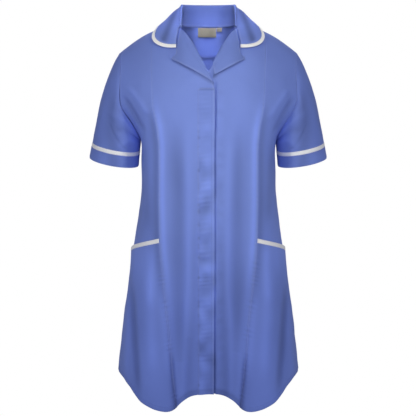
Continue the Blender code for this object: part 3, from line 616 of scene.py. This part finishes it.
def drawn_in(p):
    """The placket's free edge swings a little towards the wearer's right on its way down."""
    way = 0.0006 + 0.0026 * ease(-0.12, -0.28, p.z) + 0.0007 * ease(-0.50, -0.80, p.z)
    return Vector((-way * ease(0.002, 0.016, p.x), 0.0, 0.0))


def overlap_relief(p):
    """Under cloth beside the placket's free edge: a narrow groove, then level with the placket."""
    start = OVERLAP_X + drawn_in(Vector((OVERLAP_X, 0.0, p.z))).x
    level = ease(start - 0.001, start + 0.0045, p.x) * ease(0.050, 0.026, p.x)
    return (0.0020 * level - 0.0024 * bell(p.x, start, 0.0019)) * ease(-0.129, -0.142, p.z)


def creased(p, under=False):
    """A body point moved straight away from the wearer by the folds."""
    away = Vector((0.4 * p.x, p.y, 0.0))
    away = away.normalized() if away.length > 1e-6 else FRONT
    lift = body_relief(p) * (0.25 + 0.75 * ease(-0.075, -0.16, p.z))
    return p + away * (lift + (overlap_relief(p) if under else 0.0))


def sleeve_folds(down, turn):
    """Height of all soft folds of a sleeve, by the share down it and round it."""
    lift = 0.0
    for top_round, top_down, low_round, low_down, width, height in SLEEVE_FOLDS:
        share = (down - top_down) / (low_down - top_down)
        centre = top_round + (low_round - top_round) * share
        ends = ease(-0.15, 0.25, share) * ease(1.15, 0.80, share)
        lift += height * ends * bell(turn, centre, width)
    return lift * ease(0.0, 0.14, down) * ease(1.02, 0.90, down)


def creased_sleeve(rows, normals, mirror):
    """A sleeve's own folds and unevenness, calm at both ends."""
    last, wide = len(rows) - 1, len(rows[0])

    def lift(p, i, j):
        calm = ease(0.0, 0.14, i / last) * ease(1.02, 0.90, i / last)
        return (sleeve_folds(i / last, j / wide)
                + 0.0011 * calm * rough(p.x * 20.0 * mirror, p.y * 20.0, p.z * 20.0))

    return moved(rows, normals, lift)


def cuff_relief(rows, normals):
    """A cuff turned up from the sleeve: soft ripples, and its lower fold rounded in."""
    last = len(rows) - 1
    return moved(rows, normals, lambda p, i, j: (
        0.0007 * rough(p.x * 45.0, p.y * 45.0, p.z * 12.0) - 0.0008 * ease(last - 1.5, last, i)))


def crowned(height):
    """Shape of a narrow band: rounded a little across its width."""
    def shape(rows, normals):
        last = len(rows) - 1
        return moved(rows, normals,
                     lambda p, i, j: height * (math.sin(math.pi * i / last) - 0.6))

    return shape


def collar_relief(rows, normals):
    """Slight unevenness of the collar's fall, calm at its roll and edges."""
    last = len(rows) - 1

    def lift(p, i, j):
        calm = ease(0.55 * last, 0.72 * last, i) * ease(last, 0.88 * last, i)
        hollow = 0.0008 * bell(abs(p.x), 0.090, 0.010) if p.y < 0.03 else 0.0
        return calm * (0.0016 * noise.noise(p * 26.0) - hollow)

    return moved(rows, normals, lift)


def rolled_lapel(rows, normals):
    """Carries a lapel round the front's edge, so that it is seen to roll over."""
    last = len(rows[0]) - 1
    small = [min(1.0, (row[-1] - row[0]).length / 0.02) for row in rows]

    def lift(p, i, j):
        share = j / last
        uneven = 0.0006 * rough(p.x * 30.0, 2.0, p.z * 30.0) * ease(0, 0.3, share)
        return 0.0018 * bell(share, 0.10, 0.16) * small[i] + uneven * ease(1.0, 0.8, share)

    new = []
    for row, normal_row, line, size in zip(rows, normals, moved(rows, normals, lift), small):
        out = (row[0] - row[2]).normalized() * size
        start = row[0] + out * 0.0004
        turned = [start + out * way - normal_row[1] * depth
                  for way, depth in ((0.0004, 0.0052), (0.0022, 0.0026), (0.0012, 0.0006))]
        new.append(turned + line)
    return new


def facing_relief(rows, normals):
    return moved(rows, normals, lambda p, i, j: 0.0006 * noise.noise(p * 34.0))


def bowed(rows, normals):
    """A label that bows between its ends, and stands off a little below."""
    last = len(rows) - 1
    return moved(rows, normals, lambda p, i, j: (
        0.0011 * math.sin(math.pi * i / last) + 0.0006 * ease(0.5 * last, last, i)
        + 0.0004 * noise.noise(p * 90.0)))


def below_line(p, line):
    """How far a place lies below a sloping line on the front; large beyond the line's ends."""
    top_x, top_z, low_x, low_z = line
    share = (p.x - top_x) / (low_x - top_x)
    if not -0.02 < share < 1.02:
        return 1.0
    slope = (low_z - top_z) / (low_x - top_x)
    return (top_z + slope * (p.x - top_x) - p.z) / math.hypot(1.0, slope)


def seam_painted_shading(p):
    """Painted highlight on the princess seam's ridge, painted shade at its foot, and painted light on
    the cloth outside it, by the pocket's top and lower down.
    """
    off = off_seam(p)
    ridge = (4.8 * bell(off, -0.0075, 0.0075) - 2.6 * bell(off, 0.006, 0.006)
             + 1.6 * ease(0.010, 0.022, off))
    pocket = 3.0 * bell(p.z, -0.505, 0.045) * ease(0.012, 0.030, off)
    low = 2.4 * bell(off, 0.010, 0.008) * ease(-0.55, -0.62, p.z) * ease(-0.77, -0.71, p.z)
    upper = 1.0 - 0.75 * ease(POCKET_TOP, -0.60, p.z)
    return ridge * upper * ease(SEAM_START, -0.24, p.z) + pocket + low


def lapel_shadow(p):
    """Shade below the lapels' edges and where they cross."""
    shade = sum(4.5 * bell(below_line(p, line), 0.0, 0.0034) for line in LAPEL_EDGES)
    x, z = LAPEL_CROSSING
    return shade + 4.0 * bell(p.x, x, 0.006) * bell(p.z, z, 0.012)


def placket_painted_shading(p):
    """Painted shade along the placket's upper stitch line, painted light and shade in blotches over
    its puckers, and painted shade in the dents along its stitches.
    """
    top = 3.5 * bell(p.z, -0.1500, 0.0026) * ease(-0.020, -0.016, p.x) * ease(0.014, 0.010, p.x)
    on_placket = ease(-0.0205, -0.0180, p.x) * ease(0.020, 0.014, p.x)
    blotch = 6.5 * rough(p.x * 42.0, 1.7, p.z / 0.036) * on_placket * ease(-0.22, -0.36, p.z)
    dents = 7.0 * max(0.0, rough(8.8, 3.3, p.z / 0.0085)) * bell(p.x, -0.0195, 0.0026)
    return blotch - top - dents * ease(-0.17, -0.26, p.z)


def body_painted_shading(p, down, _across):
    """Painted shading of the body's cloth: painted shade deep in its folds and puckers, painted
    highlight on their crests, the seams', placket's and lapels' painted light and shade, darker along
    its lowest rows, and a slow random unevenness. Each tone takes a place, the share down its piece
    and the share across it."""
    tone = MM * soft_folds(p)
    if p.y > 0:
        return tone
    tone += seam_painted_shading(p) + placket_painted_shading(p) - lapel_shadow(p) - 4.0 * ease(0.985, 1.0, down)
    tone += MM * (1.3 * seam_puckers(p) + 0.9 * placket_relief(p))
    return tone + 2.4 * rough(p.x * 13.0, 5.2, p.z * 8.0)


def cuff_tone(p, _down, _across):
    """Light that an arm's cloth catches between arm and chest, and its slow unevenness."""
    front = ease(0.01, -0.03, p.y) * ease(-0.13, -0.19, p.z)
    near = 0.161 - 0.013 * ease(-0.24, -0.29, p.z)
    light = bell(abs(p.x), near, 0.015) - bell(abs(p.x), 0.203, 0.015)
    return front * 4.2 * light + 2.0 * rough(p.x * 13.0, 7.2, p.z * 11.0)


# Painted shade in the sleeve's fold troughs and painted highlight on their crests, on top of the
# cuff's painted light.
def sleeve_tone(p, down, turn):
    return cuff_tone(p, down, turn) + 0.9 * MM * sleeve_folds(down, turn)


def collar_tone(p, down, _across):
    """The collar's shade: its stand lies deep, and its fall is hollow beside the shoulder."""
    roll = bell(down, COLLAR_ROLL, 0.02) * ease(0.060, 0.045, p.y)
    tone = -3.8 * ease(0.52, 0.44, down) - 3.2 * ease(0.40, 0.52, down) * ease(0.80, 0.55, down)
    if down > 0.5 and p.y < 0.045:
        centre = 0.072 + 0.018 * (0.012 - p.z) / 0.049
        hollow = bell(abs(p.x), centre, 0.0085)
        tone -= 8.0 * hollow * ease(0.045, 0.015, p.y) * ease(1.0, 0.94, down)
    return tone - 6.0 * roll + 2.0 * noise.noise(p * 25.0)


def lapel_tone(p, _down, _across):
    """A lapel's shade: a little deeper towards its point."""
    return -1.8 - 2.6 * ease(0.040, 0.070, abs(p.x))


def facing_tone(p, _down, _across):
    """The facing lies in the light that falls through the neck, but for its upper corners."""
    corner = bell(abs(p.x), 0.042, 0.015) * ease(-0.090, -0.055, p.z)
    return 4.2 - 2.4 * ease(-0.075, -0.092, p.z) - 12.0 * corner


def new_object(bm, name, material):
    mesh = bpy.data.meshes.new(name)
    bm.to_mesh(mesh)
    bm.free()
    mesh.materials.append(bpy.data.materials[material])
    made = bpy.data.objects.new(name, mesh)
    bpy.context.scene.collection.objects.link(made)
    return made


def cloth_mesh(bm, name, material, slot):
    """A visible piece from a bmesh, riding on the body, with its material; its slot is not used."""
    piece = new_object(bm, name, material)
    piece.data.shade_smooth()
    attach(piece, BODY)
    return piece


def cloth_piece(name, rows, closed, turn, thickness, slot, tone):
    """A shell of cloth whose outer side lies on the given rows."""
    count, wide = len(rows), len(rows[0])
    columns = wide + 1 if closed else wide
    bm = bmesh.new()
    uv = bm.loops.layers.uv.new("cloth")
    edge = bm.verts.layers.float.new("edge")
    # fold: painted light and shade for each vertex, from the piece's tone function; the material
    # darkens the colour in folds and makes it paler on crests by it.
    fold = bm.verts.layers.float.new("fold")
    bmesh.ops.create_grid(bm, x_segments=columns - 1, y_segments=count - 1, size=1.0)
    bm.verts.ensure_lookup_table()
    flat = []
    down = 0.0
    for i, row in enumerate(rows):
        full = row + row[:1] if closed else row
        if i:
            down += sum((a - b).length for a, b in zip(row, rows[i - 1])) / wide
        across = [0.0]
        for a, b in zip(full, full[1:]):
            across.append(across[-1] + (b - a).length)
        flat += [(way - across[columns // 2], -down) for way in across]
        for j, p in enumerate(full):
            vert = bm.verts[i * columns + j]
            vert.co = p
            at_edge = i in (0, count - 1)
            beside = 1.0 if closed else min(across[j], across[-1] - across[j])
            vert[edge] = 1.0 if at_edge else bell(beside, 0.0, EDGE_WEAR)
            vert[fold] = tone(p, i / (count - 1), j / (columns - 1)) if tone else 0.0
    for face in bm.faces:
        for loop in face.loops:
            loop[uv].uv = flat[loop.vert.index]
    if closed:
        bmesh.ops.remove_doubles(bm, verts=bm.verts, dist=1e-6)
    bm.normal_update()
    face = min(bm.faces, key=lambda f: f.index)
    wanted = (rows[0][1] - rows[0][0]).cross(rows[1][0] - rows[0][0]) * turn
    if face.normal.dot(wanted) < 0:
        bmesh.ops.reverse_faces(bm, faces=bm.faces)
    bmesh.ops.solidify(bm, geom=list(bm.faces), thickness=thickness)
    if bm.calc_volume(signed=True) < 0:
        bmesh.ops.reverse_faces(bm, faces=bm.faces)
    piece = cloth_mesh(bm, name, WOVEN[slot], slot)
    piece.data.set_sharp_from_angle(angle=SHARP_ANGLE)
    return piece


def make(node, rows, closed, turn, thickness, slot, tone=None):
    """Makes the piece that stands for a node, and keeps its sheet."""
    piece = cloth_piece(node + "_cloth", rows, closed, turn, thickness, slot, tone)
    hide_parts(node)
    MADE[node] = (piece, rows, sheet_normals(rows, closed, turn), closed)


def declare(node, held, rests_on, *with_nodes):
    """Measures a piece's widest row and longest column, rounded; nothing keeps them."""
    piece, rows, _, closed = MADE[node]
    full = [row + row[:1] if closed else row for row in rows]
    width = max(sum((b - a).length for a, b in zip(row, row[1:])) for row in full)
    length = max(sum((b - a).length for a, b in zip(column, column[1:])) for column in zip(*rows))
    for upper, lower in zip(full, full[1:]):
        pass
    width, length = round(width, 3), round(length, 3)


def body_panel(node, side, sides, parts, lay=None):
    """One panel of the body, with its seams, creases and hem."""
    skin = Skin(node, radial, Vector((side, 0, 0)))
    rows = refined(skin.rows, parts, 8)
    if node in ("placket", "front_right"):
        rows = [[p + drawn_in(p) for p in row] for row in rows]
    rows = [[creased(p, node == "front_left") for p in row] for row in rows]
    rows = with_seam_columns(with_hem_rows(closed_up(rows, sides + ("top",))), sides)
    normals = sheet_normals(rows, False, skin.turn)
    rows = seam_dipped(rows, normals, sides)
    if lay:
        rows = laid_down(rows, normals, lay)
    rows = hem_raised(rows, normals)
    if node in TUCKED:
        rows = tucked(rows, sheet_normals(rows, False, skin.turn), TUCKED[node])
    make(node, rows, False, skin.turn, settings().cloth_wall, "blue_cloth", body_painted_shading)


def shaped_sheet(node, outward, side, parts, shape, thickness, slot, tone=None, limit=SKIN_ANGLE):
    """Refines a node's skin, shapes it and makes its piece; a side of 0 stands for a ring."""
    ring = side == 0
    skin = Skin(node, outward, None if ring else Vector((side, 0, 0)), limit)
    rows = refined(skin.rows, *parts, ring)
    if ring:
        rows = closed_up(rows, ("top", "bottom"))
    if node.startswith("pocket_trim"):
        rows = [[creased(p) for p in row] for row in rows]
    rows = shape(rows, sheet_normals(rows, ring, skin.turn))
    make(node, rows, ring, skin.turn, thickness, slot, tone)


class TUNIC_OT_body(bpy.types.Operator):
    """Make the fronts, side fronts and back"""
    bl_idname = "tunic.body"
    bl_label = "Body panels"

    def execute(self, context):
        for node, side, sides, parts in PANELS:
            body_panel(node, side, sides, parts)
            declare(node, "hung", "collar")
        return {"FINISHED"}


class TUNIC_OT_placket(bpy.types.Operator):
    """Make the placket that hides the fastening"""
    bl_idname = "tunic.placket"
    bl_label = "Placket"

    def execute(self, context):
        body_panel("placket", -1, ("last",), 18, "last")
        declare("placket", "hung", "front_right")
        return {"FINISHED"}


class TUNIC_OT_pockets(bpy.types.Operator):
    """Make the pockets and their bound mouths"""
    bl_idname = "tunic.pockets"
    bl_label = "Pockets"

    def execute(self, context):
        for name, side in SIDES:
            body_panel("pocket_" + name, side, BOTH, 14, "first")
            shaped_sheet("pocket_trim_" + name, radial, side, (6, 8), crowned(0.0004),
                         WALLS["pocket_trim"], "white_trim")
            declare("pocket_" + name, "hung", "side_front_" + name, "pocket_trim_" + name)
        return {"FINISHED"}


class TUNIC_OT_sleeves(bpy.types.Operator):
    """Make the sleeves, their bindings and their cuffs"""
    bl_idname = "tunic.sleeves"
    bl_label = "Sleeves"

    def execute(self, context):
        for name, side in SIDES:
            for part, parts, shape, thickness, slot, tone, limit in (
                    ("sleeve_", (8, 8), lambda r, n, side=side: creased_sleeve(r, n, side),
                     settings().cloth_wall, "blue_cloth", sleeve_tone, SLEEVE_ANGLE),
                    ("sleeve_trim_", (6, 6), crowned(0.0005), WALLS["sleeve_trim"], "white_trim",
                     None, SKIN_ANGLE),
                    ("cuff_", (6, 6), cuff_relief, WALLS["cuff"], "blue_cloth", cuff_tone,
                     SKIN_ANGLE)):
                low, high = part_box(part + name)
                middle = (low + high) / 2
                shaped_sheet(part + name, lambda p, middle=middle: p - middle, 0, parts, shape,
                             thickness, slot, tone, limit)
            declare("sleeve_" + name, "hung", "side_front_" + name, "sleeve_trim_" + name)
            declare("cuff_" + name, "hung", "sleeve_" + name)
        return {"FINISHED"}


class TUNIC_OT_collar(bpy.types.Operator):
    """Make the collar, its binding and the lapels"""
    bl_idname = "tunic.collar"
    bl_label = "Collar and lapels"

    def execute(self, context):
        shaped_sheet("collar", radial, 1, (4, 5), collar_relief, WALLS["collar"],
                     "blue_cloth", collar_tone)
        shaped_sheet("collar_trim", radial, 1, (6, 6), crowned(0.0006), WALLS["collar_trim"],
                     "white_trim")
        declare("collar", "folded", "back", "collar_trim")
        for name, side in SIDES:
            shaped_sheet("lapel_" + name, lambda p: FRONT, side, (5, 8), rolled_lapel,
                         WALLS["lapel"], "blue_cloth", lapel_tone)
            declare("lapel_" + name, "folded", "front_" + name)
        return {"FINISHED"}


class TUNIC_OT_neck(bpy.types.Operator):
    """Make the facing inside the back neck and the labels"""
    bl_idname = "tunic.neck"
    bl_label = "Facing and labels"

    def execute(self, context):
        shaped_sheet("back_neck_facing", lambda p: -radial(p), 1, (6, 6), facing_relief,
                     WALLS["facing"], "blue_cloth", facing_tone)
        declare("back_neck_facing", "hung", "back")
        for node, parts in (("label", (10, 5)), ("size_label", (6, 8))):
            shaped_sheet(node, lambda p: FRONT, 1, parts, bowed, WALLS["label"], "label_cloth")
        declare("label", "hung", "back_neck_facing")
        return {"FINISHED"}


def stitch_path(node, edge, way, trim=0.0):
    """A line on a made piece, parallel to one of its edges, trimmed by a share at both ends."""
    _, rows, normals, closed = MADE[node]
    if edge in ("top", "bottom"):
        rows, normals = list(zip(*rows)), list(zip(*normals))
    path = []
    for points, lines in zip(rows, normals):
        if edge in ("bottom", "last"):
            points, lines = points[::-1], lines[::-1]
        k, share = walk_in(points, way)
        path.append((at_span(points, k, share), at_span(lines, k, share).normalized()))
    if closed:
        path.append(path[0])
    last = len(path) - 1
    return path[round(trim * last):round((1 - trim) * last) + 1]


def add_stitches(bm, path, length, radius):
    """Small round stitches along a path, each an icosphere drawn out."""
    ways = [0.0]
    for (a, _), (b, _) in zip(path, path[1:]):
        ways.append(ways[-1] + (b - a).length)
    count = int(ways[-1] / (length + STITCH_GAP))
    k = 0
    for s in range(count):
        middle = (s + 0.5) * ways[-1] / count
        while k < len(ways) - 2 and ways[k + 1] < middle:
            k += 1
        share = (middle - ways[k]) / max(ways[k + 1] - ways[k], 1e-9)
        (a, n0), (b, n1) = path[k], path[k + 1]
        along = (b - a).normalized()
        normal = n0.lerp(n1, share).normalized()
        side = normal.cross(along).normalized()
        place = a.lerp(b, share) + normal * radius * STITCH_SUNK
        turn = Matrix((along, side, along.cross(side))).transposed().to_4x4()
        size = Matrix.Diagonal((0.5 * length, radius, radius, 1.0))
        bmesh.ops.create_icosphere(bm, subdivisions=1, radius=1.0,
                                   matrix=Matrix.Translation(place) @ turn @ size)


class TUNIC_OT_stitching(bpy.types.Operator):
    """Sew the visible stitch lines"""
    bl_idname = "tunic.stitching"
    bl_label = "Stitching"

    def execute(self, context):
        blue = [("placket", "last", 0.0016), ("placket", "top", 0.0020),
                ("placket", "first", 0.0055), ("back_neck_facing", "bottom", 0.0030),
                ("collar", "top", 0.0075, 0.06)]
        white = [("collar_trim", "top", 0.0013)]
        for name in ("right", "left"):
            blue += [("front_" + name, "bottom", HEM_DEPTH), ("pocket_" + name, "bottom", HEM_DEPTH),
                     ("pocket_" + name, "first", 0.0030), ("cuff_" + name, "top", 0.0022)]
            white += [(trim + name, edge, 0.0012)
                      for trim, edges in (("pocket_trim_", ("bottom", "top")),
                                          ("sleeve_trim_", ("top", "bottom")))
                      for edge in edges]
        blue.append(("back", "bottom", HEM_DEPTH))
        grey = [("label", edge, 0.0016) for edge in ("top", "bottom", "first", "last")]
        s = settings()
        for name, lines, material, slot in (
                ("stitching_blue", blue, "blue_thread", "blue_cloth"),
                ("stitching_white", white, "white_thread", "white_trim"),
                ("stitching_label", grey, "label_thread", "label_cloth")):
            bm = bmesh.new()
            for line in lines:
                add_stitches(bm, stitch_path(*line), s.stitch_length, s.stitch_radius)
            cloth_mesh(bm, name, material, slot)
        return {"FINISHED"}


def wire(tree, node, inputs):
    """Gives each named input of a node its value or its link."""
    for name, value in inputs.items():
        if isinstance(value, bpy.types.NodeSocket):
            tree.links.new(value, node.inputs[name])
        else:
            node.inputs[name].default_value = value
    return node


def add_node(tree, kind, inputs=None, **properties):
    node = tree.nodes.new(kind)
    for name, value in properties.items():
        setattr(node, name, value)
    return wire(tree, node, inputs or {})


def maths(tree, operation, *values):
    node = add_node(tree, "ShaderNodeMath", dict(enumerate(values)), operation=operation)
    return node.outputs[0]


def noise_fac(tree, vector, scale, detail=2.0):
    return add_node(tree, "ShaderNodeTexNoise",
                    {"Scale": scale, "Detail": detail, "Vector": vector}).outputs["Fac"]


def object_place(tree):
    return add_node(tree, "ShaderNodeTexCoord").outputs["Object"]


def new_group(name, inputs, outputs):
    """A node group with its sockets, what comes into it, and its output node."""
    group = bpy.data.node_groups.new(name, "ShaderNodeTree")
    kinds = {True: "NodeSocketColor", False: "NodeSocketFloat"}
    for label, default in inputs.items():
        socket = group.interface.new_socket(label, in_out="INPUT",
                                            socket_type=kinds[isinstance(default, tuple)])
        socket.default_value = default
    for label in outputs:
        group.interface.new_socket(label, in_out="OUTPUT", socket_type=kinds[label == "Colour"])
    start, end = group.nodes.new("NodeGroupInput"), group.nodes.new("NodeGroupOutput")
    return group, start.outputs, end


BLUE = (0.1, 0.15, 0.5, 1.0)


def woven_group():
    """Plain weave with uneven threads: colour, roughness and height for a Bump node."""
    group, given, end = new_group(
        "Woven cloth",
        {"Colour": BLUE, "Deep colour": (0.07, 0.1, 0.4, 1.0), "Pitch": 0.00055,
         "Unevenness": 0.3, "Roughness": 0.75},
        ("Colour", "Roughness", "Height"))
    uv = add_node(group, "ShaderNodeUVMap", uv_map="cloth").outputs["UV"]
    split = add_node(group, "ShaderNodeSeparateXYZ", {0: uv})
    streaks = add_node(group, "ShaderNodeMapping", {"Scale": (1400.0, 60.0, 1.0), "Vector": uv})
    streak = noise_fac(group, streaks.outputs["Vector"], 1.0)
    cloud = noise_fac(group, object_place(group), 16.0, 4.0)

    def calc(operation, *values):
        return maths(group, operation, *values)

    turns = calc("DIVIDE", math.pi, given["Pitch"])
    warp, weft = (calc("SINE", calc("MULTIPLY", split.outputs[axis], turns)) for axis in "XY")
    weave = calc("ABSOLUTE", calc("MULTIPLY", warp, weft))
    vary = calc("ADD", calc("MULTIPLY", streak, 0.5), calc("MULTIPLY", cloud, 0.5))
    vary = calc("MULTIPLY", calc("SUBTRACT", vary, 0.5), given["Unevenness"])
    thread = calc("MULTIPLY", calc("SUBTRACT", weave, 0.40), 0.55)
    share = calc("ADD", calc("ADD", thread, calc("MULTIPLY", vary, 3.0)), 0.70)
    mix = add_node(group, "ShaderNodeMix",
                   {"Factor": share, "A": given["Deep colour"], "B": given["Colour"]},
                   data_type="RGBA", clamp_factor=True)
    wire(group, end, {
        "Colour": mix.outputs["Result"],
        "Roughness": calc("ADD", given["Roughness"], calc("MULTIPLY", vary, 0.4)),
        "Height": calc("ADD", weave, calc("MULTIPLY", streak, 0.5))})


def wear_group():
    """Paler, slightly rubbed cloth on folded edges, from the edge attribute."""
    group, given, end = new_group("Rubbed edges", {"Colour": BLUE, "Amount": 0.12}, ("Colour",))
    edge = add_node(group, "ShaderNodeAttribute", attribute_name="edge").outputs["Fac"]
    amount = maths(group, "MULTIPLY", maths(group, "MULTIPLY", edge, given["Amount"]),
                   noise_fac(group, object_place(group), 220.0))
    mix = add_node(group, "ShaderNodeMix", {"Factor": amount, "A": given["Colour"],
                                            "B": (0.75, 0.78, 0.90, 1.0)}, data_type="RGBA")
    wire(group, end, {"Colour": mix.outputs["Result"]})


def painted_fold_shading_group():
    """Painted shade and highlight: the colour is darkened where the fold attribute says the cloth lies
    deep in a fold, and made paler on a crest.
    """
    group, given, end = new_group("Painted fold shading", {"Colour": BLUE}, ("Colour",))
    fold = add_node(group, "ShaderNodeAttribute", attribute_name="fold").outputs["Fac"]
    span = add_node(group, "ShaderNodeMapRange", {
        "From Min": -10.0, "From Max": 6.0, "To Min": 0.44, "To Max": 1.336, "Value": fold})
    tone = add_node(group, "ShaderNodeVectorMath",
                    {0: given["Colour"], "Scale": span.outputs["Result"]}, operation="SCALE")
    wire(group, end, {"Colour": tone.outputs["Vector"]})


def new_material(name):
    """A material with nodes: its tree and its Principled shader."""
    material = bpy.data.materials.new(name)
    material.use_nodes = True
    return material.node_tree, material.node_tree.nodes["Principled BSDF"]


def cloth_material(name, colour, deep, pitch, unevenness, roughness, weave_depth, crinkle, sheen):
    tree, shader = new_material(name)

    def grouped(group, inputs):
        inside = bpy.data.node_groups[group]
        return add_node(tree, "ShaderNodeGroup", inputs, node_tree=inside).outputs

    woven = grouped("Woven cloth", {
        "Colour": (*colour, 1.0), "Deep colour": (*deep, 1.0), "Pitch": pitch,
        "Unevenness": unevenness, "Roughness": roughness})
    # Painted shade in folds and painted highlight on crests, from the fold attribute.
    fold_shaded = grouped("Painted fold shading", {"Colour": woven["Colour"]})
    worn = grouped("Rubbed edges", {"Colour": fold_shaded["Colour"]})
    fine = noise_fac(tree, object_place(tree), 75.0)
    soft = add_node(tree, "ShaderNodeBump", {"Distance": crinkle, "Height": fine})
    threads = add_node(tree, "ShaderNodeBump", {
        "Distance": weave_depth, "Strength": 0.6, "Height": woven["Height"],
        "Normal": soft.outputs["Normal"]})
    wire(tree, shader, {
        "Base Color": worn["Colour"], "Roughness": woven["Roughness"],
        "Normal": threads.outputs["Normal"], "Specular IOR Level": 0.16, "Sheen Weight": sheen,
        "Sheen Roughness": 0.5, "Sheen Tint": (0.62, 0.70, 1.0, 1.0)})


def thread_material(name, colour):
    """Twisted sewing thread: fine slanting ridges on Object coordinates."""
    tree, shader = new_material(name)
    twist = noise_fac(tree, object_place(tree), 2500.0)
    ramp = add_node(tree, "ShaderNodeValToRGB", {"Fac": twist})
    low, high = ramp.color_ramp.elements
    low.color = (*[0.72 * c for c in colour], 1.0)
    high.color = (*colour, 1.0)
    low.position = 0.35
    high.position = 0.65
    roughness = maths(tree, "ADD", maths(tree, "MULTIPLY", twist, 0.2), 0.5)
    wire(tree, shader, {"Base Color": ramp.outputs["Color"], "Roughness": roughness,
                        "Sheen Weight": 0.2})


class TUNIC_OT_materials(bpy.types.Operator):
    """Make the cloth, binding, label and thread materials"""
    bl_idname = "tunic.materials"
    bl_label = "Materials"

    def execute(self, context):
        woven_group()
        wear_group()
        painted_fold_shading_group()
        s = settings()
        cloth_material(WOVEN["blue_cloth"], s.cloth_colour, s.cloth_deep, s.thread_pitch,
                       unevenness=0.30, roughness=0.66, weave_depth=0.00008, crinkle=0.00004,
                       sheen=0.05)
        cloth_material(WOVEN["white_trim"], s.binding_colour, s.binding_deep, s.thread_pitch,
                       unevenness=0.25, roughness=0.72, weave_depth=0.00014, crinkle=0.00030,
                       sheen=0.10)
        cloth_material(WOVEN["label_cloth"], s.label_colour, s.label_deep, 0.0007,
                       unevenness=0.35, roughness=0.62, weave_depth=0.00020, crinkle=0.00020,
                       sheen=0.10)
        thread_material("blue_thread", (0.085, 0.125, 0.470))
        thread_material("white_thread", (0.700, 0.690, 0.760))
        thread_material("label_thread", (0.230, 0.230, 0.210))
        return {"FINISHED"}


def area_light(name, place, target, size, energy, colour, spread=180.0):
    data = bpy.data.lights.new(name, "AREA")
    data.shape = "RECTANGLE"
    data.size, data.size_y = size
    data.energy = energy * settings().light
    data.color = colour
    data.spread = math.radians(spread)
    lamp = bpy.data.objects.new(name, data)
    lamp.location = place
    lamp.rotation_euler = (Vector(target) - Vector(place)).to_track_quat("-Z", "Y").to_euler()
    bpy.context.scene.collection.objects.link(lamp)


def pale_floor():
    tree, shader = new_material("pale_floor")
    wire(tree, shader, {"Base Color": (0.95, 0.95, 0.95, 1.0), "Roughness": 0.9})
    bm = bmesh.new()
    bmesh.ops.create_circle(bm, cap_ends=True, cap_tris=False, segments=96, radius=1.5,
                            matrix=Matrix.Translation((0, 0, -1.5)))
    new_object(bm, "floor", "pale_floor")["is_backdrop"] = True


def studio_world():
    """White behind the tunic, and a dimmer, cool light on it."""
    world = bpy.data.worlds.new("studio")
    bpy.context.scene.world = world
    world.use_nodes = True
    tree = world.node_tree
    tree.nodes.clear()
    seen = add_node(tree, "ShaderNodeBackground",
                    {"Strength": 1.0, "Color": (1.0, 1.0, 1.0, 1.0)})
    shed = add_node(tree, "ShaderNodeBackground",
                    {"Strength": 0.36 * settings().light, "Color": (0.93, 0.95, 1.0, 1.0)})
    path = add_node(tree, "ShaderNodeLightPath")
    mix = add_node(tree, "ShaderNodeMixShader", {
        "Fac": path.outputs["Is Camera Ray"], 1: shed.outputs["Background"],
        2: seen.outputs["Background"]})
    add_node(tree, "ShaderNodeOutputWorld", {"Surface": mix.outputs["Shader"]})


class TUNIC_OT_stage(bpy.types.Operator):
    """Set up the pale floor, the soft studio light and the camera"""
    bl_idname = "tunic.stage"
    bl_label = "Stage"

    def execute(self, context):
        scene = context.scene
        scene.view_settings.view_transform = "Standard"
        pale_floor()
        studio_world()
        chest = (0.0, -0.1, -0.30)
        warm, cool = (1.10, 1.04, 0.74), (0.92, 0.955, 1.13)
        for name, side in (("strip_light_left", -1), ("strip_light_right", 1)):
            area_light(name, (side * 0.95, -1.15, 0.44), (-side * 0.055, -0.12, -0.24),
                       (0.25, 0.56), 0.20, warm, 19.5)
        area_light("neck_light", (0.0, -0.5, 0.6), (0.0, 0.06, -0.06), (0.15, 0.10), 0.056,
                   cool, 11.0)
        area_light("fill_light", (0.0, -3.2, 0.4), chest, (1.2, 1.0), 23.0, cool)
        area_light("back_light", (0.0, 2.6, 1.6), chest, (2.4, 1.6), 26.0, cool)

        data = bpy.data.cameras.new("camera")
        data.lens = 97.2
        data.sensor_width = 36.0
        data.shift_x = -0.0006
        camera = bpy.data.objects.new("camera", data)
        camera.location = (0.0, -2.45, -0.088)
        camera.rotation_euler = (math.radians(90.0 - 7.57), 0.0, 0.0)
        scene.collection.objects.link(camera)
        scene.camera = camera
        return {"FINISHED"}


OPERATORS = (TUNIC_OT_materials, TUNIC_OT_body, TUNIC_OT_placket, TUNIC_OT_pockets,
             TUNIC_OT_sleeves, TUNIC_OT_collar, TUNIC_OT_neck, TUNIC_OT_stitching, TUNIC_OT_stage)


class TUNIC_PT_sidebar(bpy.types.Panel):
    bl_label = "Maternity Tunic"
    bl_idname = "TUNIC_PT_sidebar"
    bl_space_type = "VIEW_3D"
    bl_region_type = "UI"
    bl_category = "Tunic"

    def draw(self, context):
        for name in TunicSettings.__annotations__:
            self.layout.prop(settings(), name)
        for operator in OPERATORS:
            self.layout.operator(operator.bl_idname)


CLASSES = (TunicSettings, *OPERATORS, TUNIC_PT_sidebar)


def register():
    for cls in CLASSES:
        bpy.utils.register_class(cls)
    bpy.types.Scene.maternity_tunic = bpy.props.PointerProperty(type=TunicSettings)


def unregister():
    del bpy.types.Scene.maternity_tunic
    for cls in reversed(CLASSES):
        bpy.utils.unregister_class(cls)


def main():
    register()
    for operator in OPERATORS:
        getattr(bpy.ops.tunic, operator.bl_idname.split(".")[1])()
    lists = {"cad": CAD_BOX, "visual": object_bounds()}
    plain = {name: [[float(v) for v in corner] for corner in box] for name, box in lists.items()}


if __name__ == "__main__":
    main()
